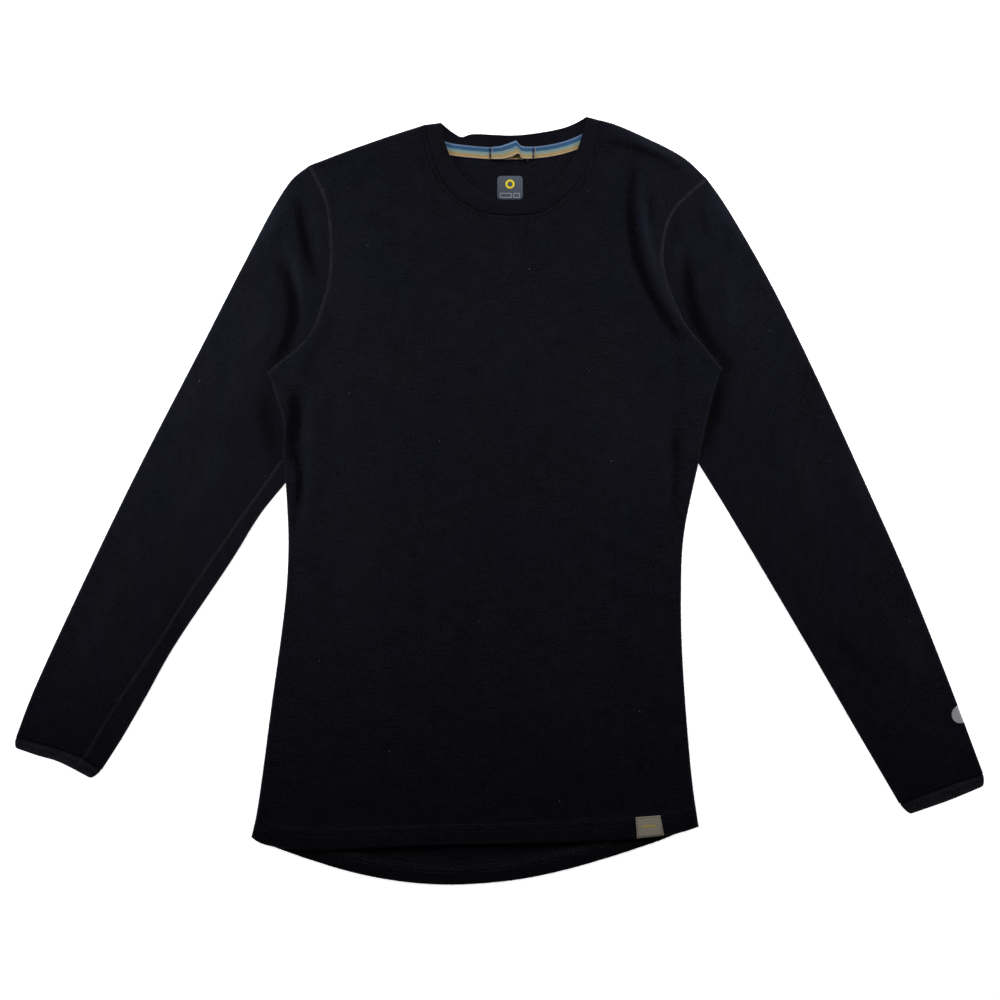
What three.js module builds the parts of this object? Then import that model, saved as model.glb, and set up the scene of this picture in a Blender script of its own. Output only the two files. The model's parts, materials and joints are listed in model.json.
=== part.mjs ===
// A long-sleeved base layer top of fine wool jersey, laid flat on a table with its front upwards.
//
// The frame: +X to the right, +Y towards the neck, +Z up, in millimetres. The table is z = 0, and the
// origin is the middle of the garment's outline on the table. "left" and "right" are those of the
// picture, so the left sleeve is the wearer's right one.
//
// Every piece is a wall of cloth. The back panel lies on the table with the front panel on it, the
// sleeves and cuffs are tubes pressed flat, and the neckband is a short tube of doubled cloth, pressed
// flat too, whose front half lies round the neck and whose back half lies behind it.

import * as THREE from 'three';

// Cloth and the air between its layers
const WALL = 1.2;
const BAND_WALL = 2.2;
const TAPE_WALL = 0.5;
const PRINT_WALL = 0.3;
const LAYER_GAP = 0.8;
const SEAM_GAP = 0.35;
const REST_GAP = 0.3;
const FLAT_HEIGHT = 2 * WALL + LAYER_GAP;

// Hems, bands and trims. The neckband is higher at its two folds than in front, its free edge rolls up,
// and its back half rises behind the neck.
const HEM_DEPTH = 20;
const HEM_STEP = 2.5;
const CUFF_HEIGHT = 2 * BAND_WALL + 0.6;
const NECK_HEIGHT = { fold: 6.4, front: 4.5, freeEdge: 0.9, behind: 2.6 };
const TAPE_WIDTH = 11.5;
const TAPE_ABOVE_SEAM = 4;
const LOOP = { from: -10, to: 34.5, high: 3, bow: 2.5, steps: 8 };
const LABEL = { x: 10.5, y: 313.2, wide: 25.5, tall: 23.5, corner: 3.5 };
const TAG = {
  lowLeft: { x: 137.5, y: -337 },
  lowRight: { x: 164.5, y: -334 },
  highLeft: { x: 136, y: -316 },
  highRight: { x: 160.5, y: -314 },
};

// How many steps each stretch of an edge has
const STEPS = {
  side: 12,
  fold: 4,
  armholeLow: 3,
  armholeHigh: 8,
  shoulder: 5,
  neck: 16,
  sleeve: 13,
  cuff: 8,
  band: 3,
  hem: 48,
};

// A table's rows become objects with the columns' names
const table = (columns, rows) => rows.map(
  (row) => Object.fromEntries(columns.map((column, place) => [column, row[place]])),
);
const outline = (rows) => table(['x', 'y'], rows);

// Body: each stretch of its outline runs upwards from the hem, or from left to right
const BODY = {
  left: {
    side: outline([[-248, -336], [-243, -314], [-228.5, -209], [-213.5, -94], [-211, -40], [-213.5, 17]]),
    fold: outline([[-213.5, 17], [-216.5, 46], [-216, 79], [-223.5, 104], [-231.5, 128]]),
    armholeLow: outline([[-231.5, 128], [-211.5, 144], [-195, 158.5], [-181.5, 178.5]]),
    armholeHigh: outline([[-181.5, 178.5], [-170, 220], [-168, 250], [-172.5, 297], [-190, 335.5]]),
    hiddenCap: outline([[-211.5, 21], [-210, 55], [-209.5, 90], [-206, 122], [-194, 153], [-181.5, 178.5]]),
  },
  right: {
    side: outline([[199, -325.5], [192.5, -279], [183, -159], [181.5, -94], [184, -36], [198.5, 37]]),
    fold: outline([[198.5, 37], [203.5, 62.5], [213.5, 106.5], [221.5, 131.5]]),
    armholeLow: outline([[221.5, 131.5], [206.5, 150.5], [193.5, 165.5], [182, 180]]),
    armholeHigh: outline([[182, 180], [166, 220], [162, 248], [172, 288], [207, 322.5]]),
    hiddenCap: outline([[196.5, 41.5], [195, 71], [193, 111], [188, 150], [182, 180]]),
  },
  shoulderLeft: outline([[-190, 335.5], [-135.5, 356], [-95.5, 369.5], [-74.5, 376]]),
  shoulderRight: outline([[100.5, 380.5], [112.5, 377.5], [144.5, 364], [184.5, 343], [207, 322.5]]),
  frontHem: outline([[-248, -336], [-239, -342], [-199.5, -348.5], [-59.5, -344.5], [53.5, -342],
    [140.5, -337.5], [182.5, -331], [199, -325.5]]),
  backHem: outline([[-248, -336], [-229.5, -344.5], [-139.5, -373], [-64.5, -383.3], [10.5, -379.5],
    [70.5, -367.5], [160.5, -339.5], [180.5, -331.5], [199, -325.5]]),
};

// Neck: the sewn edge and the free edge of the band, in front and behind, from left to right
const NECK = {
  frontSeam: outline([[-74.5, 376], [-71, 356.5], [-54, 315], [-22.5, 291], [10.5, 285.5], [46.5, 291],
    [75.5, 315], [94.5, 349.5], [100.5, 380.5]]),
  frontFree: outline([[-58.5, 378], [-55, 360], [-39.5, 327], [-13.5, 306.5], [10.5, 300.5],
    [37.5, 306.5], [61.5, 325.5], [78, 352], [87, 384]]),
  backSeam: outline([[-74.5, 376], [-67, 362], [-54.5, 355], [-29.5, 351], [10.5, 349], [50.5, 352],
    [75.5, 359], [91, 368], [100.5, 380.5]]),
  backFree: outline([[-58.5, 378], [-47.5, 369], [-38.5, 364.5], [-8.5, 365], [18.5, 365.5],
    [60.5, 372], [74.5, 377], [87, 384]]),
};

// Sleeves: the outer and the inner folded edge between the armhole and the cuff, from the top down, and
// the cuff's two edges from the outer fold to the inner one
const SLEEVES = {
  left: {
    outer: outline([[-206, 323], [-221.5, 301], [-253.5, 241], [-299.5, 151], [-361.5, 31],
      [-419.5, -89], [-467.5, -194]]),
    inner: outline([[-239.5, -14], [-267.5, -59], [-327.5, -149], [-352.5, -194], [-378.5, -239]]),
    cuffTop: outline([[-484, -236], [-442.5, -247], [-417.5, -256.5], [-397, -269]]),
    cuffEnd: outline([[-484.5, -246.5], [-461, -254.5], [-442, -260], [-407.5, -277.5]]),
  },
  right: {
    outer: outline([[222.5, 301], [266.5, 226], [311.5, 136], [366.5, 16], [406.5, -74], [448.5, -179]]),
    inner: outline([[230.5, -14], [310.5, -149], [362.5, -239]]),
    cuffTop: outline([[484, -272], [449.5, -283], [399, -302.5]]),
    cuffEnd: outline([[484.5, -284.5], [449.5, -299], [409.5, -313]]),
  },
};

// Folds and creases: a soft ridge (or a trough, where high is below zero) from a start through a middle
// to an end
const FOLD_COLUMNS = ['startX', 'startY', 'middleX', 'middleY', 'endX', 'endY', 'wide', 'high'];
const FRONT_FOLDS = table(FOLD_COLUMNS, [
  [157, 322, 148, 245, 172, 192, 9, 1.7],
  [128, 318, 133, 246, 176, 170, 8, -0.5],
  [138, 354, 172, 340, 200, 320, 8, 1.2],
  [-150, 300, -145, 230, -150, 160, 30, 0.9],
  [-60, 220, 20, 150, 90, 60, 70, 0.8],
  [120, 150, 130, 60, 120, -40, 40, 0.9],
  [-150, 60, -130, -60, -140, -180, 45, 0.8],
  [60, -60, 80, -160, 70, -260, 50, 0.8],
  [-204, 96, -207, 50, -204, -10, 5, -0.5],
  [-192, 90, -194, 30, -198, -50, 9, 0.8],
  [174.5, 82, 177, 40, 176, -8, 5, -0.5],
  [164, 90, 166, 30, 168, -60, 9, 0.8],
]);
const SLEEVE_FOLDS = {
  left: table(FOLD_COLUMNS, [
    [-212, 250, -201, 220, -204, 180, 8, 2.0],
    [-188, 285, -181, 255, -180, 232, 6, 0.9],
    [-232, 205, -238, 165, -250, 130, 14, 1.3],
    [-300, 100, -312, 78, -332, 62, 12, 1.0],
    [-270, 60, -290, 20, -320, -30, 16, 1.1],
    [-385, -90, -402, -130, -415, -175, 18, 1.0],
  ]),
  right: table(FOLD_COLUMNS, [
    [188, 285, 182, 250, 190, 215, 9, 1.5],
    [225, 230, 235, 190, 240, 150, 16, 1.3],
    [345, 40, 362, 15, 384, -20, 14, 1.2],
    [290, 60, 305, 20, 325, -30, 16, 1.1],
    [395, -110, 412, -150, 424, -195, 18, 1.0],
  ]),
};

// Materials
const finish = (name, color, roughness) => (
  new THREE.MeshStandardMaterial({ name, color, roughness, metalness: 0 })
);
const MATERIALS = {
  jersey: finish('black_heather_jersey', 0x141419, 0.95),
  tape: finish('striped_woven_tape', 0x6f93ad, 0.8),
  label: finish('slate_transfer_label', 0x4b535d, 0.6),
  tag: finish('taupe_woven_tag', 0x6d6257, 0.85),
};

// Plane geometry
const mix = (from, to, share) => from + (to - from) * share;
const between = (a, b, share) => ({ x: mix(a.x, b.x, share), y: mix(a.y, b.y, share) });
const distance = (a, b) => Math.hypot(b.x - a.x, b.y - a.y);
const eased = (value) => {
  const share = Math.min(1, Math.max(0, value));
  return share * share * (3 - 2 * share);
};

// A smooth line through a table's points, cut into equal steps
function smooth(points, steps) {
  const knots = points.map((point) => new THREE.Vector3(point.x, point.y, 0));
  const curve = new THREE.CatmullRomCurve3(knots, false, 'centripetal');
  return curve.getSpacedPoints(steps).map(({ x, y }) => ({ x, y }));
}

// Stretches that meet end to end, as one list of points
function joined(...stretches) {
  return stretches.flatMap((stretch, place) => (place === 0 ? stretch : stretch.slice(1)));
}

const lineLength = (points) => points.slice(1).reduce(
  (sum, point, place) => sum + distance(points[place], point),
  0,
);

// The share of its whole length at which each point of a line lies
function shares(points) {
  const lengths = [0];
  for (let place = 1; place < points.length; place += 1) {
    lengths.push(lengths[place - 1] + distance(points[place - 1], points[place]));
  }
  return lengths.map((length) => length / lengths[lengths.length - 1]);
}

// The point of a line at a share, where each of its points has the share given for it
function pointAt(points, marks, share) {
  const last = marks.length - 1;
  let place = 1;
  while (place < last && marks[place] < share) place += 1;
  const part = (share - marks[place - 1]) / (marks[place] - marks[place - 1]);
  return between(points[place - 1], points[place], part);
}

// A line moved sideways, to the left of its own direction
function moved(points, offset) {
  return points.map((point, place) => {
    const before = points[Math.max(0, place - 1)];
    const after = points[Math.min(points.length - 1, place + 1)];
    const length = distance(before, after);
    return {
      x: point.x - ((after.y - before.y) / length) * offset,
      y: point.y + ((after.x - before.x) / length) * offset,
    };
  });
}

// A four-sided stretch of cloth between its edges: at(across, up) gives any point of it. The bend of a
// side edge dies away from it with the power fade.
function patch({ bottom, top, left, right, acrossMarks, upMarks, fade }) {
  const [lowLeft, lowRight] = [bottom[0], bottom[bottom.length - 1]];
  const [highLeft, highRight] = [top[0], top[top.length - 1]];
  return (across, up) => {
    const base = between(pointAt(bottom, acrossMarks, across), pointAt(top, acrossMarks, across), up);
    const near = pointAt(left, upMarks, up);
    const far = pointAt(right, upMarks, up);
    const straightNear = between(lowLeft, highLeft, up);
    const straightFar = between(lowRight, highRight, up);
    const bend = (key) => (near[key] - straightNear[key]) * (1 - across) ** fade
      + (far[key] - straightFar[key]) * across ** fade;
    return { x: base.x + bend('x'), y: base.y + bend('y') };
  };
}

const meanShares = (a, b) => {
  const other = shares(b);
  return shares(a).map((share, place) => (share + other[place]) / 2);
};

// Height of the soft ridges and troughs of a table at a point. Each is lowest at its two ends.
const FOLD_SAMPLES = 8;
const FOLD_END = 0.4;
function foldHeight(folds, point) {
  return folds.reduce((sum, fold) => {
    let nearest = Infinity;
    let place = 0;
    for (let step = 0; step <= FOLD_SAMPLES; step += 1) {
      const share = step / FOLD_SAMPLES;
      const first = { x: mix(fold.startX, fold.middleX, share), y: mix(fold.startY, fold.middleY, share) };
      const second = { x: mix(fold.middleX, fold.endX, share), y: mix(fold.middleY, fold.endY, share) };
      const gap = distance(point, between(first, second, share));
      if (gap < nearest) {
        nearest = gap;
        place = share;
      }
    }
    const taper = mix(FOLD_END, 1, Math.sin(Math.PI * place));
    return sum + fold.high * taper * Math.exp(-((nearest / fold.wide) ** 2));
  }, 0);
}

// Height of a line at x, for a line that runs from left to right
function lineY(points, x) {
  const last = points.length - 1;
  let place = 1;
  while (place < last && points[place].x < x) place += 1;
  const from = points[place - 1];
  const to = points[place];
  return mix(from.y, to.y, (x - from.x) / (to.x - from.x));
}

// The place of a line across, at the height y, for a line that runs upwards
function lineX(points, y) {
  return lineY(points.map((point) => ({ x: point.y, y: point.x })), y);
}

// A closed solid from its corners and faces, turned so that its faces point out
function solid(name, corners, faces, material) {
  const volume = faces.reduce((sum, [a, b, c]) => {
    const [p, q, r] = [corners[a], corners[b], corners[c]];
    return sum + p[0] * (q[1] * r[2] - q[2] * r[1]) + p[1] * (q[2] * r[0] - q[0] * r[2])
      + p[2] * (q[0] * r[1] - q[1] * r[0]);
  }, 0);
  const outward = volume > 0 ? faces : faces.map(([a, b, c]) => [a, c, b]);
  const geometry = new THREE.BufferGeometry();
  geometry.setAttribute('position', new THREE.Float32BufferAttribute(corners.flat(), 3));
  geometry.setIndex(outward.flat());
  geometry.computeVertexNormals();
  const mesh = new THREE.Mesh(geometry, material);
  mesh.name = name;
  return mesh;
}

// A sheet of cloth: rows of points, each with x, y, its top and its bottom
function sheet(name, rows, material) {
  const across = rows[0].length;
  const count = rows.length * across;
  const corners = [
    ...rows.flat().map((point) => [point.x, point.y, point.top]),
    ...rows.flat().map((point) => [point.x, point.y, point.bottom]),
  ];
  const faces = [];
  const quad = (a, b, c, d) => faces.push([a, b, c], [a, c, d]);
  const at = (row, column) => row * across + column;
  for (let row = 0; row + 1 < rows.length; row += 1) {
    for (let column = 0; column + 1 < across; column += 1) {
      const [a, b] = [at(row, column), at(row, column + 1)];
      const [c, d] = [at(row + 1, column + 1), at(row + 1, column)];
      quad(a, b, c, d);
      quad(a + count, d + count, c + count, b + count);
    }
  }
  for (let column = 0; column + 1 < across; column += 1) {
    const [front, back] = [at(0, column), at(rows.length - 1, column)];
    quad(front, front + count, front + count + 1, front + 1);
    quad(back, back + 1, back + count + 1, back + count);
  }
  for (let row = 0; row + 1 < rows.length; row += 1) {
    const [near, far] = [at(row, 0), at(row, across - 1)];
    quad(near, near + across, near + across + count, near + count);
    quad(far, far + count, far + across + count, far + across);
  }
  return solid(name, corners, faces, material);
}

// A tube of cloth: for each section a ring of outer points and a ring of inner points
function tube(name, sections, material) {
  const around = sections[0].outer.length;
  const count = sections.length * around;
  const corners = [
    ...sections.flatMap((section) => section.outer),
    ...sections.flatMap((section) => section.inner),
  ];
  const faces = [];
  const quad = (a, b, c, d) => faces.push([a, b, c], [a, c, d]);
  const at = (section, place) => section * around + (place % around);
  for (let section = 0; section + 1 < sections.length; section += 1) {
    for (let place = 0; place < around; place += 1) {
      const [a, b] = [at(section, place), at(section, place + 1)];
      const [c, d] = [at(section + 1, place + 1), at(section + 1, place)];
      quad(a, b, c, d);
      quad(a + count, d + count, c + count, b + count);
    }
  }
  const last = sections.length - 1;
  for (let place = 0; place < around; place += 1) {
    const [a, b] = [at(0, place), at(0, place + 1)];
    const [c, d] = [at(last, place), at(last, place + 1)];
    quad(a, a + count, b + count, b);
    quad(c, d, d + count, c + count);
  }
  return solid(name, corners, faces, material);
}

// Places across a tube that is pressed flat: at its two folds there are steps on the round, each given
// by its distance from the fold as a part of the round's radius. The next step is a little further in.
const ROUND_STEPS = [0, 0.29, 1];
const ROUND_MARGIN = 1;

// One section of a tube pressed flat. upper and lower give the point of its two halves at a share of
// the way across, height the top of the upper half there, and rise the underside of the lower half.
function flatSection({ upper, lower, marks, length, radius, wall, height, rise }) {
  const outer = [];
  const inner = [];
  const round = (gap) => Math.sqrt(1 - (1 - Math.min(1, gap)) ** 2);
  const level = (share, bulge, thick, isUpper) => {
    const middle = (height(share) + rise(share)) / 2;
    const half = ((height(share) - rise(share)) / 2 - thick) * bulge;
    return isUpper ? middle + half : middle - half;
  };
  const add = (share, isUpper) => {
    const line = isUpper ? upper : lower;
    const gap = Math.min(share, 1 - share) * length;
    const depth = Math.max(0, 1 - gap / radius);
    const inset = (gap + wall * depth) / length;
    const insetShare = share < 0.5 ? inset : 1 - inset;
    const far = line(share);
    const near = line(insetShare);
    outer.push([far.x, far.y, level(share, round(gap / radius), 0, isUpper)]);
    inner.push([near.x, near.y, level(insetShare, round(1 - depth), wall, isUpper)]);
  };
  const folds = ROUND_STEPS.map((step) => (step * radius) / length);
  const clear = (radius + ROUND_MARGIN) / length;
  const places = [
    ...folds,
    ...marks.filter((mark) => mark > clear && mark < 1 - clear),
    ...folds.map((share) => 1 - share).reverse(),
  ];
  places.forEach((share) => add(share, true));
  places.slice(1, -1).reverse().forEach((share) => add(share, false));
  return { outer, inner };
}

// Body lines, cut into the same steps on both sides
const LINES = Object.fromEntries(['left', 'right'].map((side) => {
  const rows = BODY[side];
  const line = Object.fromEntries(
    ['side', 'fold', 'armholeLow', 'armholeHigh'].map((part) => [part, smooth(rows[part], STEPS[part])]),
  );
  line.hiddenCap = smooth(rows.hiddenCap, STEPS.fold + STEPS.armholeLow);
  line.cover = joined(line.fold, line.armholeLow);
  line.outward = side === 'left' ? -1 : 1;
  return [side, line];
}));
const HEM_LINES = { front: smooth(BODY.frontHem, STEPS.hem), back: smooth(BODY.backHem, STEPS.hem) };
const NECK_LINES = Object.fromEntries(
  Object.entries(NECK).map(([name, rows]) => [name, smooth(rows, STEPS.neck)]),
);
const NECK_MARKS = NECK_LINES.frontSeam.map((point, place) => place / STEPS.neck);
const neckPoint = (line, share) => pointAt(NECK_LINES[line], NECK_MARKS, share);

// A lift of the front panel begins and ends softly: 1 within full of a place, and 0 beyond none of it
const fading = (gap, full, none) => eased((none - gap) / (none - full));

// The back hem lifts what lies on it, from a little way above its turned edge
function hemLift(point) {
  const above = point.y - lineY(HEM_LINES.back, point.x) - HEM_DEPTH - HEM_STEP;
  return WALL * fading(above, 2, 30);
}

// The front panel lies over the sleeve at the underarm, and is lifted there
function underarmLift(point) {
  const full = FLAT_HEIGHT + 2 * REST_GAP - WALL - LAYER_GAP;
  return full * Math.max(...Object.values(LINES).map(({ hiddenCap, outward }) => {
    const low = hiddenCap[0].y;
    const high = hiddenCap[hiddenCap.length - 1].y;
    const level = Math.min(high, Math.max(low, point.y));
    const inside = (lineX(hiddenCap, level) - point.x) * outward;
    return fading(point.y - high, 6, 30) * fading(low - point.y, 6, 22) * fading(inside, 5, 17);
  }));
}

// Beside the neck the front panel climbs towards the top of the band
const NECK_LIFT = { reach: 30, front: 0.4, fold: 1.8, begins: 290, ends: 360 };
function neckLift(point) {
  const nearest = Math.min(...NECK_LINES.frontSeam.map((seam) => distance(seam, point)));
  const { reach, front, fold, begins, ends } = NECK_LIFT;
  return fading(nearest, 0, reach) * mix(fold, front, fading(point.y, begins, ends));
}

// Underside of the front panel. held is 0 at the panel's edges, where the seams keep it down.
const DEEPEST_TROUGH = -0.45;
function frontBottom(point, held) {
  const folds = Math.max(DEEPEST_TROUGH, foldHeight(FRONT_FOLDS, point));
  return WALL + LAYER_GAP + hemLift(point) + underarmLift(point) + neckLift(point) + folds * held;
}

// Steps of a panel's roll at an edge: the distance from the edge, and the share of the height there.
// The seams hold a panel down for HELD from its edges, and the bend of a side dies away over the panel.
const ROLL = table(['gap', 'height'], [[0, 0.42], [0.6, 0.78], [1.8, 1]]);
const PANEL = { wide: 430, tall: 690, fade: 7 };
const HELD = 14;

// Places across a panel, with the roll's steps at both ends and close steps under the arms, and up a
// panel, with its hem and the roll
const UNDERARM_STEPS = [7, 14, 28];
function placesAcross(marks) {
  const near = [...ROLL.map(({ gap }) => gap), ...UNDERARM_STEPS].map((gap) => gap / PANEL.wide);
  return [...near, ...marks.slice(1, -1), ...near.map((share) => 1 - share)].sort((a, b) => a - b);
}
function placesUp(marks) {
  const hem = [0, HEM_DEPTH / PANEL.tall, (HEM_DEPTH + HEM_STEP) / PANEL.tall];
  const near = ROLL.map(({ gap }) => 1 - gap / PANEL.tall).reverse();
  return [...hem, ...marks.slice(1, -1), ...near];
}
const rollAt = (gap) => ROLL.slice(0, 2).find((row) => Math.abs(row.gap - gap) < SEAM_GAP / 2);

// A panel's surface between its hem, its two sides and its shoulders and neck
function panelArea(left, right, hem, top) {
  const acrossMarks = shares(top);
  const bottom = acrossMarks.map((mark) => pointAt(hem, shares(hem), mark));
  const upMarks = meanShares(left, right);
  const at = patch({ bottom, top, left, right, acrossMarks, upMarks, fade: PANEL.fade });
  return { acrossMarks, upMarks, at };
}
const turnedHem = (up) => eased((HEM_DEPTH + HEM_STEP - up * PANEL.tall) / HEM_STEP);

// The front's sides and shoulders roll down to the table round the back. Its armholes and neck are cut
// edges, and at the underarm its fold lies on the sleeve.
function frontPanel() {
  const edge = ({ side, fold, armholeLow, armholeHigh }) => joined(side, fold, armholeLow, armholeHigh);
  const shoulderLeft = smooth(BODY.shoulderLeft, STEPS.shoulder);
  const shoulderRight = smooth(BODY.shoulderRight, STEPS.shoulder);
  const top = joined(shoulderLeft, NECK_LINES.frontSeam, shoulderRight);
  const area = panelArea(edge(LINES.left), edge(LINES.right), HEM_LINES.front, top);
  const notch = area.upMarks[STEPS.side];
  const belowNotch = area.upMarks[STEPS.side - 1];
  const neckStart = area.acrossMarks[STEPS.shoulder];
  const neckEnd = area.acrossMarks[STEPS.shoulder + STEPS.neck];
  const rows = placesUp(area.upMarks).map((up) => placesAcross(area.acrossMarks).map((across) => {
    const point = area.at(across, up);
    const fromSide = Math.min(across, 1 - across) * PANEL.wide;
    const fromTop = (1 - up) * PANEL.tall;
    const bottom = frontBottom(point, eased(fromSide / HELD) * eased(fromTop / HELD));
    const top = bottom + WALL * (1 + turnedHem(up));
    const onSide = eased((notch - up) / (notch - belowNotch));
    const onShoulder = across < neckStart || across > neckEnd ? 1 : 0;
    const sideRoll = rollAt(fromSide);
    const topRoll = rollAt(fromTop);
    const rolls = [
      sideRoll && { ...sideRoll, share: onSide },
      topRoll && { ...topRoll, share: onShoulder },
    ].filter((roll) => roll && roll.share > 0);
    return {
      ...point,
      top: Math.min(top, ...rolls.map(({ height, share }) => mix(top, top * height, share))),
      bottom: Math.min(bottom, ...rolls.map(({ share }) => mix(bottom, REST_GAP, share))),
    };
  }));
  return sheet('front_panel', rows, MATERIALS.jersey);
}

// The back lies flat on the table, inside the front's rolled sides and shoulders
const BACK_INSET = 2.3;
function backPanel() {
  const edge = ({ side, hiddenCap, armholeHigh, outward }) => [
    ...moved(side, BACK_INSET * outward),
    ...joined(hiddenCap, armholeHigh),
  ];
  const shoulder = (rows) => moved(smooth(rows, STEPS.shoulder), -BACK_INSET);
  const left = edge(LINES.left);
  const right = edge(LINES.right);
  const top = [
    ...shoulder(BODY.shoulderLeft).slice(0, -1),
    ...NECK_LINES.backSeam,
    ...shoulder(BODY.shoulderRight).slice(1),
  ];
  const cornerInset = 0.07;
  top[0] = between(top[0], top[1], cornerInset);
  top[top.length - 1] = between(top[top.length - 1], top[top.length - 2], cornerInset);
  left[left.length - 1] = top[0];
  right[right.length - 1] = top[top.length - 1];
  const area = panelArea(left, right, HEM_LINES.back, top);
  const levels = placesUp(area.upMarks).filter((up) => up === 1 || (1 - up) * PANEL.tall > BACK_INSET);
  const rows = levels.map((up) => area.acrossMarks.map((across) => (
    { ...area.at(across, up), top: WALL * (1 + turnedHem(up)), bottom: 0 }
  )));
  return sheet('back_panel', rows, MATERIALS.jersey);
}

// A sleeve is one tube from the armhole to the cuff. Its armhole edge meets both panels, and its lowest
// part runs under the front's fold, where nothing raises it. Its end is a little narrower than the cuff.
const SLEEVE = { crown: 0.5, crownReach: 40, endReach: 16, foldReach: 12, covered: 25, proud: 0.02 };
const COVER_TOP = 190;
function sleeve(side) {
  const { armholeHigh, hiddenCap, cover, outward } = LINES[side];
  const rows = SLEEVES[side];
  const cap = moved(joined(hiddenCap, armholeHigh), -SEAM_GAP * outward).reverse();
  const capMarks = shares(cap);
  const cuffLine = smooth(rows.cuffTop, STEPS.cuff);
  const end = capMarks.map((mark) => (
    pointAt(cuffLine, shares(cuffLine), mix(SLEEVE.proud, 1 - SLEEVE.proud, mark))
  ));
  const endLine = moved(end, -1.3 * SEAM_GAP * outward);
  const outer = smooth([cap[0], ...rows.outer, endLine[0]], 2 * STEPS.sleeve);
  const inner = smooth([cap[cap.length - 1], ...rows.inner, endLine[endLine.length - 1]], 2 * STEPS.sleeve);
  const upMarks = meanShares(outer, inner);
  const at = patch({
    bottom: cap, top: endLine, left: outer, right: inner, acrossMarks: capMarks, upMarks, fade: 1,
  });
  const reach = distance(outer[0], outer[outer.length - 1]);
  const closeSections = 4;
  const marks = upMarks.filter((mark, place) => place < closeSections || place % 2 === 0);
  const sections = marks.map((along) => {
    const length = distance(at(0, along), at(1, along));
    const fromEnd = Math.min(along, 1 - along) * reach;
    const height = (share) => {
      const point = at(share, along);
      const fromFold = Math.min(share, 1 - share) * length;
      const outside = (point.x - lineX(cover, point.y)) * outward;
      const free = Math.max(
        eased((point.y - COVER_TOP) / SLEEVE.covered),
        eased((outside - SLEEVE.covered) / SLEEVE.covered),
      );
      const crown = SLEEVE.crown * eased(fromFold / SLEEVE.crownReach);
      const folds = Math.max(DEEPEST_TROUGH, foldHeight(SLEEVE_FOLDS[side], point) + crown);
      const held = eased(fromEnd / SLEEVE.endReach) * eased(fromFold / SLEEVE.foldReach);
      return FLAT_HEIGHT + folds * free * held;
    };
    return flatSection({
      upper: (share) => at(share, along),
      lower: (share) => at(share, along),
      marks: capMarks,
      length,
      radius: FLAT_HEIGHT / 2,
      wall: WALL,
      height,
      rise: () => 0,
    });
  });
  return tube(`sleeve_${side}`, sections, MATERIALS.jersey);
}

// A cuff is a short doubled band on the sleeve's end
function cuff(side) {
  const rows = SLEEVES[side];
  const [top, end] = [smooth(rows.cuffTop, STEPS.cuff), smooth(rows.cuffEnd, STEPS.cuff)];
  const marks = shares(top);
  const sections = [0, 0.5, 1].map((along) => {
    const line = (share) => between(pointAt(top, marks, share), pointAt(end, shares(end), share), along);
    const length = distance(line(0), line(1));
    return flatSection({
      upper: line,
      lower: line,
      marks,
      length,
      radius: CUFF_HEIGHT / 2,
      wall: BAND_WALL,
      height: () => CUFF_HEIGHT,
      rise: () => 0,
    });
  });
  return tube(`cuff_${side}`, sections, MATERIALS.jersey);
}

// The neckband runs from its seams, along 0, to its free edge, along 1. A share of 0 or 1 is at a fold.
const FOLD_SHARE = 0.3;
function neckband() {
  const line = (seam, free) => {
    const sewn = moved(NECK_LINES[seam], SEAM_GAP);
    return (share, along) => between(pointAt(sewn, NECK_MARKS, share), neckPoint(free, share), along);
  };
  const front = line('frontSeam', 'frontFree');
  const behind = line('backSeam', 'backFree');
  const steps = [...Array(STEPS.band + 1).keys()];
  const sections = steps.map((step) => step / STEPS.band).map((along) => {
    const atFold = (share) => fading(Math.min(share, 1 - share), 0, FOLD_SHARE);
    const top = (share) => mix(NECK_HEIGHT.front, NECK_HEIGHT.fold, atFold(share));
    return flatSection({
      upper: (share) => front(share, along),
      lower: (share) => behind(share, along),
      marks: NECK_MARKS,
      length: lineLength(NECK_LINES.frontSeam),
      radius: NECK_HEIGHT.fold / 2,
      wall: BAND_WALL,
      height: (share) => top(share) + NECK_HEIGHT.freeEdge * along,
      rise: (share) => NECK_HEIGHT.behind * along * (1 - atFold(share)) ** 2,
    });
  });
  return tube('neckband', sections, MATERIALS.jersey);
}

// The tape covers the back neck seam: part of it lies on the band, the rest on the back panel. Each row
// gives a line along the tape, by its height over the seam in the plane and its underside.
const TAPE = table(['above', 'bottom'], [
  [TAPE_ABOVE_SEAM - TAPE_WIDTH, WALL + REST_GAP],
  [-4.5, WALL + REST_GAP + 0.1],
  [-1.5, BAND_WALL + REST_GAP - 0.1],
  [1, BAND_WALL + REST_GAP + 0.2],
  [TAPE_ABOVE_SEAM, BAND_WALL + REST_GAP + 0.75],
]);
const TAPE_END = 1.4 / STEPS.neck;
function neckTape() {
  const marks = [TAPE_END, ...NECK_MARKS.slice(2, -2), 1 - TAPE_END];
  const seam = marks.map((share) => neckPoint('backSeam', share));
  const rows = TAPE.map(({ above, bottom }) => (
    moved(seam, above).map((point) => ({ ...point, top: bottom + TAPE_WALL, bottom }))
  ));
  return sheet('neck_tape', rows, MATERIALS.tape);
}

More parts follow.
